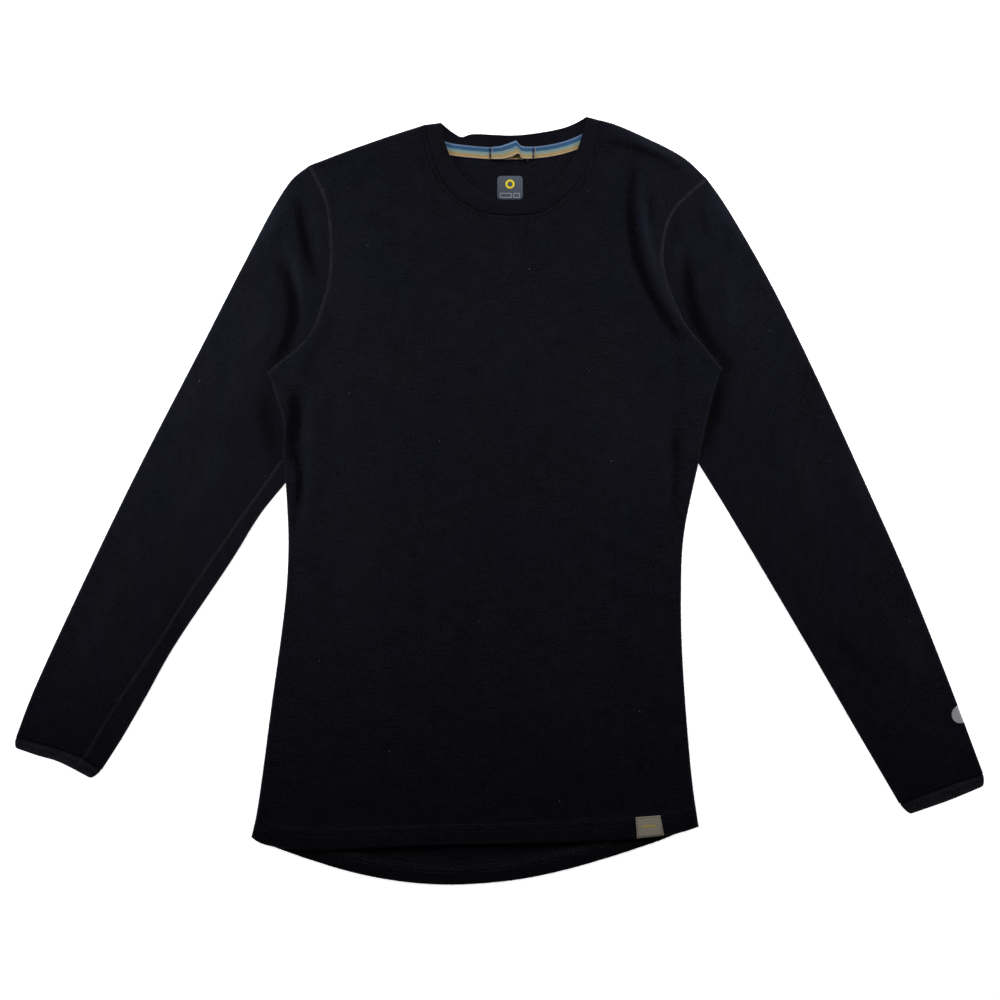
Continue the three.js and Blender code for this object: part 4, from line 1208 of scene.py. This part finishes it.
def woven_sheet(name, points, bottom, uvs, rests_on):
    """A strip of the tape."""
    top = with_height(points, bottom + TAPE_WALL)
    long = length_of(points[len(points) // 2])
    keep_size(name, TAPE_WIDTH, long, TAPE_WIDTH * long, rests_on)
    return cloth_piece(name, top, with_height(points, bottom), uvs, tape_weave)


share = np.linspace(TAPE_END, 1 - TAPE_END, TAPE_COLUMNS)
ripples = TAPE_RIPPLE * (1 + np.sin(share * TAPE_WAVES) * eased(TAPE_HELD * np.minimum(share, 1 - share)))
neck_tape = woven_sheet("striped_neck_tape", *tape_shape(share, ripples, np.zeros(TAPE_COLUMNS)),
                        ("back_cloth", "neckband_cloth"))

# %% Hang loop: shares along it, and how far its upper and its lower edge stand out there
LOOP_COLUMNS = 60
UPPER_KINK = ((0, 0.24, 0.42, LOOP["peak"], 0.7, 0.8, 1), (0, 0.2, 0.57, 1, 0.25, 0.06, 0))
LOWER_KINK = ((0, 0.3, 0.5, LOOP["peak"] + 0.05, 0.72, 1), (0, 0.08, 0.4, 0.85, 0.1, 0))
ARCH_POWER = 0.9

seam_x = NECK_LINES["back_seam"][:, 0]
loop_share = np.interp(np.linspace(LOOP["start"], LOOP["end"], LOOP_COLUMNS), seam_x, NECK_MARKS)
mark = np.linspace(0, 1, LOOP_COLUMNS)
arch = np.sin(math.pi * np.interp(mark, (0, LOOP["peak"], 1), (0, 0.5, 1))) ** ARCH_POWER
up_the_tape = (TAPE_ROWS / TAPE_WIDTH)[:, None]
bow = LOOP["bow"] * mix(np.interp(mark, *LOWER_KINK), np.interp(mark, *UPPER_KINK), up_the_tape)
hang_loop = woven_sheet(
    "striped_hang_loop", *tape_shape(loop_share, TAPE_WALL + REST_GAP + LOOP["high"] * arch, bow),
    ("striped_neck_tape",))

# %% [markdown]
# ## Label and hem tag
# The label is a printed patch pressed on the inside of the back, and the tag is a small woven square
# stitched on the front hem. Both keep their size and colour here, with plain motifs of their own.

# %% Label finish
RING = {"x": 0, "y": 3.6, "outer": 4.6, "inner": 2.7}
FRAMES = {"centres": (-4.2, 6.6), "widths": (11.5, 6.5), "y": -7.6, "tall": 4.6, "lines": 1.1}
DARK_SLATE, PALE_SLATE = srgb(64, 71, 83), srgb(98, 106, 119)
YELLOW, FRAME_GREY = srgb(255, 234, 30), srgb(200, 207, 212)


def label_material():
    """Slate print with a plain yellow ring, and two empty frames low down."""
    material, tree, shader = new_material("slate_transfer_print", 0.5, specular=0.3)
    vector = cloth_vector(tree)
    parts = add(tree, "ShaderNodeSeparateXYZ", ((0, vector),)).outputs
    cracks = speckle(tree, vector, 1400.0, 4.0)
    colour = blend(tree, cracks, DARK_SLATE, PALE_SLATE)
    ring = sums(tree, "SUBTRACT", *[disc_mask(tree, vector, RING["x"], RING["y"], RING[radius])
                                    for radius in ("outer", "inner")])
    colour = blend(tree, sums(tree, "MULTIPLY", ring, 0.95), colour, YELLOW)
    for x, wide in zip(FRAMES["centres"], FRAMES["widths"]):
        boxes = [box_mask(tree, parts, x, FRAMES["y"], wide - line, FRAMES["tall"] - line)
                 for line in (0, FRAMES["lines"])]
        frame_mask = sums(tree, "SUBTRACT", *boxes)
        colour = blend(tree, sums(tree, "MULTIPLY", frame_mask, 0.8), colour, FRAME_GREY)
    tree.links.new(colour, shader.inputs["Base Color"])
    height = sums(tree, "ADD", sums(tree, "MULTIPLY", ring, 2.0), cracks)
    tree.links.new(bump(tree, height, 0.3, 0.00012), shader.inputs["Normal"])
    return material


# %% Label
PATCH = {"rim": 0.5, "bevel": 0.12, "corner_steps": 8, "pressed": 0.05, "area_share": 0.96}


def rounded_patch(name, centre, size, corner, low, thick, material):
    """A thin plate with round corners, whose UV map is in metres from its middle."""
    bm = bmesh.new()
    uv_map = bm.loops.layers.uv.new("cloth")
    bmesh.ops.create_grid(bm, x_segments=1, y_segments=1, size=0.5)
    bmesh.ops.scale(bm, vec=(size[0] * MM, size[1] * MM, 1), verts=bm.verts[:])
    bmesh.ops.bevel(bm, geom=bm.verts[:], offset=corner * MM, segments=PATCH["corner_steps"], profile=0.5,
                    material=-1, affect="VERTICES")
    bmesh.ops.inset_region(bm, faces=bm.faces[:], thickness=PATCH["rim"] * MM)
    made = bmesh.ops.extrude_face_region(bm, geom=bm.faces[:], use_keep_orig=True)
    verts = [item for item in made["geom"] if isinstance(item, bmesh.types.BMVert)]
    bmesh.ops.translate(bm, vec=(0, 0, thick * MM), verts=verts)
    bmesh.ops.recalc_face_normals(bm, faces=bm.faces[:])
    rim = [edge for edge in bm.edges if len(edge.link_faces) == 2 and edge.calc_face_angle() > 1
           and min(vert.co.z for vert in edge.verts) > 0.5 * thick * MM]
    bmesh.ops.bevel(bm, geom=rim, offset=PATCH["bevel"] * MM, segments=2, profile=0.5, material=-1,
                    affect="EDGES")
    for face in bm.faces:
        for loop in face.loops:
            loop[uv_map].uv = loop.vert.co.xy
    bmesh.ops.translate(bm, vec=(centre[0] * MM, centre[1] * MM, low * MM), verts=bm.verts[:])
    return finished(bm, name, material)


label_area = PATCH["area_share"] * LABEL["wide"] * LABEL["tall"]
keep_size("printed_neck_label", LABEL["wide"], LABEL["tall"], label_area, ("back_cloth",))
label_patch = rounded_patch("printed_neck_label", (LABEL["x"], LABEL["y"]), (LABEL["wide"], LABEL["tall"]),
                            LABEL["corner"], WALL + REST_GAP - PATCH["pressed"], LABEL["thick"],
                            label_material())

# %% Hem tag finish
TAG_YARN = 0.8
GOLD_BAR = {"x": 12.5, "y": 11.2, "wide": 13, "tall": 1.8}
DARK_TAUPE, PALE_TAUPE, GOLD = srgb(160, 152, 134), srgb(222, 212, 190), srgb(244, 206, 84)


def tag_material():
    """Taupe weave with a short gold bar."""
    material, tree, shader = new_material("taupe_woven_tag", 0.8, sheen=0.1, specular=0.2)
    vector = cloth_vector(tree)
    parts = add(tree, "ShaderNodeSeparateXYZ", ((0, vector),)).outputs
    turns = 2 * math.pi / (TAG_YARN * MM)
    weave = sums(tree, "MULTIPLY", *[sums(tree, "SINE", sums(tree, "MULTIPLY", parts[axis], turns))
                                     for axis in ("X", "Y")])
    worn = speckle(tree, vector, 900.0, 3.0)
    shade = sums(tree, "ADD", worn, sums(tree, "MULTIPLY", weave, 0.12))
    colour = blend(tree, shade, DARK_TAUPE, PALE_TAUPE)
    bar = box_mask(tree, parts, *GOLD_BAR.values())
    colour = blend(tree, sums(tree, "MULTIPLY", bar, 0.9), colour, GOLD)
    tree.links.new(colour, shader.inputs["Base Color"])
    tree.links.new(bump(tree, shade, 0.5, 0.0002), shader.inputs["Normal"])
    return material


# %% Hem tag
TAG_EDGE = {"radius": 0.8, "start": 0.6, "crown": 0.12, "crown_reach": 5, "sunk": 0.15, "span": 25}
TAG_STEPS = np.array([0, 0.02, 0.06, *np.linspace(0.12, 0.88, 16), 0.94, 0.98, 1])


def tag_points(across, up):
    """Flat points of the tag at shares across and up it."""
    low_left, low_right, high_left, high_right = (np.array(corner) for corner in TAG_CORNERS)
    return mix(mix(low_left, low_right, across), mix(high_left, high_right, across), up)


def tag_shell():
    """The tag's cloth, which follows the hem under it."""
    wide, tall = TAG["wide"], TAG["tall"]
    across, up = np.meshgrid(TAG_STEPS, TAG_STEPS)
    points = tag_points(across[..., None], up[..., None])
    bottom = front_bottom(points, 1.0) + 2 * WALL + REST_GAP - TAG_EDGE["sunk"]
    edge = np.minimum(np.minimum(across, 1 - across), np.minimum(up, 1 - up)) * TAG_EDGE["span"]
    wall = TAPE_WALL * rounded(edge, TAG_EDGE["radius"], TAG_EDGE["start"])
    top = bottom + wall + TAG_EDGE["crown"] * eased(edge / TAG_EDGE["crown_reach"])
    uvs = np.stack([across * wide, up * tall], -1)
    keep_size("woven_hem_tag", wide, tall, wide * tall, ("front_cloth",))
    return cloth_piece("woven_hem_tag", with_height(points, top), with_height(points, bottom), uvs,
                       tag_material())


woven_tag = tag_shell()

# %% [markdown]
# ## Sewing
# A flatlock machine lays two needle lines with short threads across them, so the seams lie flat against
# the skin, and a coverstitch machine sews the hems: two lines outside, a zigzag of looper thread inside.
# At the neck and the cuffs one line is pulled deep into the cloth, and its thread is painted near black
# as the shade of that groove, so it shows as a dark row. A stitch is a small rounded thread of a few faces.
# It is made once and copied along a line, and each copy is dropped on the cloth below it.

# %% Copies of one small shape
def small_shape(build):
    """The corners and faces of a shape that a bmesh operator makes."""
    bm = bmesh.new()
    build(bm)
    corners = np.array([vert.co[:] for vert in bm.verts])
    faces = [[vert.index for vert in face.verts] for face in bm.faces]
    bm.free()
    return corners, faces


STITCH = small_shape(lambda bm: bmesh.ops.create_uvsphere(bm, u_segments=6, v_segments=4, radius=0.5))


def copies(name, shape, matrices, material):
    """One mesh of many copies of a shape."""
    corners, faces = shape
    matrices = np.array(matrices)
    placed = np.einsum("nij,kj->nki", matrices[:, :3, :3], corners) + matrices[:, None, :3, 3]
    count = len(corners)
    every = [[corner + place * count for corner in face] for place in range(len(matrices)) for face in faces]
    mesh = bpy.data.meshes.new(name)
    mesh.from_pydata(placed.reshape(-1, 3).tolist(), [], every)
    mesh.shade_smooth()
    mesh.materials.append(material)
    piece = bpy.data.objects.new(name, mesh)
    scene.collection.objects.link(piece)
    print(name, len(matrices), "copies")
    return piece


# %% Stitches dropped on the cloth
DROP_HEIGHT = 0.05
STITCH_LIFT = 0.35
UNEVEN_PULL = {"share": 0.35, "each": 0.37, "over": 9}


def surface_at(point, names):
    """The highest surface of some pieces at a flat point in metres, and its normal."""
    best = None
    for name in names:
        place, normal, _, _ = surfaces[name].ray_cast(Vector((*point, DROP_HEIGHT)), Vector((0, 0, -1)))
        if place is not None and (best is None or place.z > best[0].z):
            best = place, normal
    return best


def stitch_row(line, spacing, size, names, turn=0.0, flip=0.0):
    """Stitches along a line in millimetres: size is (length, width, height), turn their angle to the line."""
    steps = max(2, int(length_of(line) / spacing))
    middles = along(line, marks_of(line), (np.arange(steps) + 0.5) / steps) * MM
    ways = np.gradient(middles, axis=0)
    matrices = []
    for number, (middle, way) in enumerate(zip(middles, ways)):
        found = surface_at(middle, names)
        if found is None:
            continue
        place, normal = found
        chance_at = Vector((number * UNEVEN_PULL["each"], *(middle * UNEVEN_PULL["over"])))
        pull = 1 + UNEVEN_PULL["share"] * noise.noise(chance_at)
        angle = math.atan2(way[1], way[0]) + turn + (flip if number % 2 else -flip)
        forward = Vector((math.cos(angle), math.sin(angle), 0))
        forward = (forward - normal * forward.dot(normal)).normalized()
        side = normal.cross(forward)
        basis = Matrix((forward * size[0] * pull, side * size[1] * pull, normal * size[2])).transposed() * MM
        matrix = basis.to_4x4()
        matrix.translation = place + normal * size[2] * STITCH_LIFT * MM
        matrices.append(matrix)
    return matrices


def sewn_line(line, spacing, names, size=(0.8, 0.45, 0.4)):
    """A plain run of needle stitches, each most of its spacing long."""
    return stitch_row(line, spacing, (size[0] * spacing, size[1], size[2]), names)


# %% Flatlock seams at the armholes and along the sleeve
FLATLOCK = {"half": 1.4, "step": 1.4, "thread": (3.3, 0.6, 0.45)}
SLEEVE_FLATLOCK = {"half": 1.2, "step": 1.4, "thread": (2.9, 0.6, 0.45)}
NARROW = {"half": 0.8, "step": 1.5, "thread": (2.2, 0.45, 0.4)}
NEEDLE_STEP = 2.4
FLATLOCK_FLIP = 0.16
SLEEVE_SEAM = [(-217.5, 40), (-287.5, -59), (-308.5, -90), (-340.5, -141), (-375.5, -193), (-399.5, -230.5),
               (-413, -254), (-422.5, -265)]


def flatlock(line, names, form):
    """Crosswise threads between two needle lines."""
    rows = stitch_row(line, form["step"], form["thread"], names, turn=math.pi / 2, flip=FLATLOCK_FLIP)
    for side in (-1, 1):
        rows += sewn_line(moved(line, side * form["half"]), NEEDLE_STEP, names)
    return rows


seams = {}
for side, line in LINES.items():
    names = ("front_cloth", f"sleeve_cloth_{side}")
    low, high = (moved(line[part], -SEAM_OVERLAP * line["outward"])
                 for part in ("armhole_low", "armhole_high"))
    rows = flatlock(high, names, FLATLOCK) + flatlock(low, names, NARROW)
    seams[f"armhole_{side}"] = copies(f"armhole_flatlock_{side}", STITCH, rows, thread_black)
sleeve_rows = flatlock(smooth(SLEEVE_SEAM, STEPS["sleeve"]), ("sleeve_cloth_left", "cuff_cloth_left"),
                       SLEEVE_FLATLOCK)
seams["sleeve"] = copies("sleeve_flatlock_left", STITCH, sleeve_rows, thread_black)

# %% Coverstitch at the neck and cuffs
NECK_ROW = {"offset": -4.3, "step": 2.4, "size": (1.0, 1.5, 0.5), "ends": 3}
CUFF_ROW = {"offset": 0.3, "step": 2.6, "size": (1.0, 1.2, 0.5), "ends": 1}
CUFF_SEAM_STEPS = 60


def sunk_row(line, form, names):
    """One line of the coverstitch, pulled into the cloth, without the line's first and last points."""
    inside = moved(line, form["offset"])[form["ends"]:-form["ends"]]
    return sewn_line(inside, form["step"], names, form["size"])


neck_row = sunk_row(NECK_LINES["front_seam"], NECK_ROW, ("front_cloth",))
seams["neck"] = copies("neck_coverstitch", STITCH, neck_row, groove_shade_thread)
for side, rows in SLEEVES.items():
    names = (f"sleeve_cloth_{side}", f"cuff_cloth_{side}")
    cuff_row = sunk_row(smooth(rows["cuff_top"], CUFF_SEAM_STEPS), CUFF_ROW, names)
    seams[f"cuff_{side}"] = copies(f"cuff_coverstitch_{side}", STITCH, cuff_row, groove_shade_thread)

# %% Coverstitch at the hems, with the zigzag of its looper inside the back hem
FRONT_HEM_ROWS = {"offsets": (13.5, 20.5), "step": 2.8}
BACK_HEM_ROWS = {"offsets": (11.8, 19.0), "step": 2.6, "size": (0.9, 0.7, 0.5), "ends": (12, -16)}
LOOPER = {"offset": 15.4, "step": 1.5, "thread": (6.6, 0.55, 0.5), "flip": 0.32}

front_hem_rows = []
for offset in FRONT_HEM_ROWS["offsets"]:
    front_hem_rows += sewn_line(moved(HEM_LINES["front"], offset), FRONT_HEM_ROWS["step"], ("front_cloth",))
seams["front_hem"] = copies("front_hem_coverstitch", STITCH, front_hem_rows, thread_black)

back_line = HEM_LINES["back"][slice(*BACK_HEM_ROWS["ends"])]
back_hem_rows = stitch_row(moved(back_line, LOOPER["offset"]), LOOPER["step"], LOOPER["thread"],
                           ("back_cloth",), turn=math.pi / 2, flip=LOOPER["flip"])
for offset in BACK_HEM_ROWS["offsets"]:
    back_hem_rows += sewn_line(moved(back_line, offset), BACK_HEM_ROWS["step"], ("back_cloth",),
                               BACK_HEM_ROWS["size"])
seams["back_hem"] = copies("back_hem_looper", STITCH, back_hem_rows, thread_black)

# %% Stitches on the tape and loop
TAPE_EDGES = {"upper": 3.1, "lower": -6.7}
LOOSE_END = [(27, 343.2), (28.4, 341.6), (27.8, 339.6)]
TACK = {"low": -7.2, "high": 3.6, "step": 1.1, "size": (1.1, 0.7, 0.5), "inset": 0.8, "apart": 0.7}
TAPE_END_SEAM = 2.2
TAPE_AND_LOOP = ("striped_neck_tape", "striped_hang_loop")

tape_line = along(NECK_LINES["back_seam"], NECK_MARKS, np.linspace(TAPE_END + 0.01, 0.99 - TAPE_END, 80))
upper_edge = sewn_line(moved(tape_line, TAPE_EDGES["upper"]), NEEDLE_STEP, TAPE_AND_LOOP)
lower_edge = sewn_line(moved(tape_line, TAPE_EDGES["lower"]), NEEDLE_STEP, ("striped_neck_tape",))
lower_edge += sewn_line(smooth(LOOSE_END, 8), 0.9, ("striped_neck_tape", "back_cloth"), (1.6, 0.5, 0.5))
seams["tape_upper"] = copies("tape_upper_stitches", STITCH, upper_edge, thread_blue)
seams["tape_lower"] = copies("tape_lower_stitches", STITCH, lower_edge, thread_peach)


def tack(x):
    """A row of close stitches across the tape."""
    share = np.array([np.interp(x, seam_x, NECK_MARKS)])
    foot = along(NECK_LINES["back_seam"], NECK_MARKS, share)[0]
    bar = np.array([(foot[0], foot[1] + TACK["low"]), (foot[0], foot[1] + TACK["high"])])
    return sewn_line(bar, TACK["step"], TAPE_AND_LOOP, TACK["size"])


tacks, tape_ends = [], []
for x in (LOOP["start"] + TACK["inset"], LOOP["end"] - TACK["inset"]):
    for sideways in (-1, 0, 1):
        tacks += tack(x + sideways * TACK["apart"])
    tape_ends += tack(x + TAPE_END_SEAM)
seams["tape_ends"] = copies("tape_end_stitches", STITCH, tape_ends, thread_peach)
seams["tacks"] = copies("hang_loop_tacks", STITCH, tacks, thread_navy)

# %% Stitches round the tag: the ends of each side as shares across and up it
TAG_SIDES = (((0.05, 0.06), (0.05, 0.94)), ((0.95, 0.06), (0.95, 0.94)), ((0.05, 0.94), (0.95, 0.94)),
             ((0.05, 0.06), (0.95, 0.06)))
TAG_STITCH_STEP = 2.2

tag_edges = []
for start, end in TAG_SIDES:
    line = mix(np.array(start), np.array(end), np.linspace(0, 1, 12)[:, None])
    tag_edges += sewn_line(tag_points(line[:, :1], line[:, 1:]), TAG_STITCH_STEP, ("woven_hem_tag",))
seams["tag"] = copies("tag_stitches", STITCH, tag_edges, thread_black)

# %% [markdown]
# ## Fuzz and lint
# Worn wool has a halo of short fibres along its folds and hems, and a dark top always carries some pale
# lint. A fibre is a thin three-sided spike, copied along the outlines with its length and direction left
# to chance, from a fixed seed.

# %% Fuzz
SPIKE = small_shape(lambda bm: bmesh.ops.create_cone(
    bm, cap_ends=True, cap_tris=True, segments=3, radius1=0.5, radius2=0.0, depth=1.0,
    matrix=Matrix.Translation((0, 0, 0.5))))
chance = np.random.default_rng(11)
FIBRE = {"wide": 0.12, "shortest": 0.5, "shape": 2.0, "scale": 0.45, "astray": 0.75, "rooted": 0.3}
LEAN = {"mean": 0.1, "spread": 0.35}
TABLE_CLEAR = 0.0001
AHEAD = 0.002


def fuzz(line, outward, low, high, each_mm):
    """Spikes along a line, leaning outwards. outward is 1 for the left of the line's direction."""
    count = int(length_of(line) * each_mm)
    share = np.sort(chance.random(count))
    marks = marks_of(line)
    points = along(line, marks, share)
    ahead = along(line, marks, np.clip(share + AHEAD, 0, 1))
    ahead = ahead - along(line, marks, np.clip(share - AHEAD, 0, 1))
    outwards = np.arctan2(ahead[:, 1], ahead[:, 0]) + outward * math.pi / 2
    angles = outwards + chance.normal(0, FIBRE["astray"], count)
    lengths = FIBRE["shortest"] + chance.gamma(FIBRE["shape"], FIBRE["scale"], count)
    leans = chance.normal(LEAN["mean"], LEAN["spread"], count)
    heights = chance.uniform(low, high, count)
    matrices = []
    for point, angle, length, lean, level in zip(points, angles, lengths, leans, heights):
        way = Vector((math.cos(angle) * math.cos(lean), math.sin(angle) * math.cos(lean), math.sin(lean)))
        inward = Vector((-math.cos(angle), -math.sin(angle), 0)) * FIBRE["rooted"]
        root = (Vector((*point, level)) + inward) * MM
        if root.z + min(0, way.z) * length * MM < TABLE_CLEAR:
            continue
        size = Matrix.Diagonal((FIBRE["wide"] * MM, FIBRE["wide"] * MM, length * MM, 1))
        matrices.append(Matrix.Translation(root) @ way.to_track_quat("Z", "Y").to_matrix().to_4x4() @ size)
    return matrices


# %% Fuzz along the edges: lowest and highest root over the table, and fibres in a millimetre
FUZZ = {
    "side": (0.8, 2.2, 5.0),
    "fold": (4.2, 4.8, 1.5),
    "sleeve": (1.0, 2.4, 4.0),
    "cuff": (1.5, 3.6, 1.6),
    "back_hem": (0.5, 1.8, 5.0),
    "front_hem": (3.2, 4.2, 1.2),
    "shoulder": (0.8, 2.2, 3.0),
    "neckband": (3.4, 4.4, 1.6),
}
spikes = []
for side, line in LINES.items():
    out = -line["outward"]
    spikes += fuzz(line["side"], out, *FUZZ["side"])
    spikes += fuzz(line["fold"], out, *FUZZ["fold"])
    spikes += fuzz(smooth(SLEEVES[side]["outer"], 100), -out, *FUZZ["sleeve"])
    spikes += fuzz(smooth(SLEEVES[side]["inner"], 80), out, *FUZZ["sleeve"])
    spikes += fuzz(smooth(SLEEVES[side]["cuff_end"], 30), -out, *FUZZ["cuff"])
spikes += fuzz(HEM_LINES["back"], -1, *FUZZ["back_hem"])
spikes += fuzz(HEM_LINES["front"], -1, *FUZZ["front_hem"])
for line in SHOULDERS:
    spikes += fuzz(line, 1, *FUZZ["shoulder"])
spikes += fuzz(NECK_LINES["back_free"][8:-8], 1, *FUZZ["neckband"])
edge_fuzz = copies("edge_fuzz", SPIKE, spikes, wool_fuzz)

# %% Lint
LINT_LONG, LINT_WIDE, LINT_LIFT = (0.6, 1.3), (0.3, 0.5), 0.1
LINT = [(-175.5, 311), (-151.5, 313), (-131.5, 255), (88.5, 310), (-234.5, 25), (-150.5, 108), (-60, 60),
        (30, 232), (112, 40), (-20, -120), (140, -210), (-180, -160), (60, -300), (-300, 120), (-410, -60),
        (330, 40), (410, -120), (270, 170), (-110, -250), (90, 130)]
ALL_CLOTH = ("front_cloth", "sleeve_cloth_left", "sleeve_cloth_right")
specks = []
for x, y in LINT:
    found = surface_at((x * MM, y * MM), ALL_CLOTH)
    if found is not None:
        long, wide = chance.uniform(*LINT_LONG), chance.uniform(*LINT_WIDE)
        turn = Matrix.Rotation(chance.uniform(0, math.pi), 4, "Z")
        size = Matrix.Diagonal((long * MM, wide * MM, wide * MM, 1))
        specks.append(Matrix.Translation(found[0] + Vector((0, 0, LINT_LIFT * MM))) @ turn @ size)
lint_specks = copies("lint_specks", STITCH, specks, lint)

# %% [markdown]
# ## Table
# The top lies on a plain pale sheet, far wider than the picture. It glows a little, so that it stays white
# where none of the narrow beams reaches. It is part of the stage, and not of the top.

# %% Floor
FLOOR_HALF = 6
FLOOR_GLOW = 0.97

bm = bmesh.new()
bmesh.ops.create_grid(bm, x_segments=1, y_segments=1, size=FLOOR_HALF)
mesh = bpy.data.meshes.new("pale_floor")
bm.to_mesh(mesh)
bm.free()
floor = bpy.data.objects.new("pale_floor", mesh)
floor_material, _, floor_shader = new_material("pale_floor", 0.9)
floor_shader.inputs["Base Color"].default_value = (0.9, 0.9, 0.9, 1)
floor_shader.inputs["Emission Color"].default_value = (1, 1, 1, 1)
floor_shader.inputs["Emission Strength"].default_value = FLOOR_GLOW
mesh.materials.append(floor_material)
scene.collection.objects.link(floor)
print("floor", 2 * FLOOR_HALF, "m wide")

# %% [markdown]
# ## What each piece is
# Every piece rides on the one body. The cloth stands for its soft solid, which is hidden, and is listed with
# the name of a slot of the record and the sewing that goes with it. The size each sheet was cut to, all round
# where it is a tube, is printed where it is made.

for piece in bpy.data.objects:
    if piece.type == "MESH" and piece.name not in frame["nodes"] and piece != floor:
        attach(piece, "root")

STANDS_FOR = {
    "front_panel": (front_cloth, "jersey", ("neck", "front_hem")),
    "back_panel": (back_cloth, "jersey", ("back_hem",)),
    "sleeve_left": (sleeve_cloths["left"], "jersey", ("armhole_left", "sleeve")),
    "sleeve_right": (sleeve_cloths["right"], "jersey", ("armhole_right",)),
    "cuff_left": (cuff_cloths["left"], "jersey", ("cuff_left",)),
    "cuff_right": (cuff_cloths["right"], "jersey", ("cuff_right",)),
    "neckband": (neckband_cloth, "jersey", ()),
    "neck_tape": (neck_tape, "tape", ("tape_upper", "tape_lower")),
    "hang_loop": (hang_loop, "tape", ("tacks", "tape_ends")),
    "neck_label": (label_patch, "label", ()),
    "hem_tag": (woven_tag, "tag", ("tag",)),
}
for node, (piece, slot, sewing) in STANDS_FOR.items():
    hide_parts(node)
    threads = [seams[name] for name in sewing]
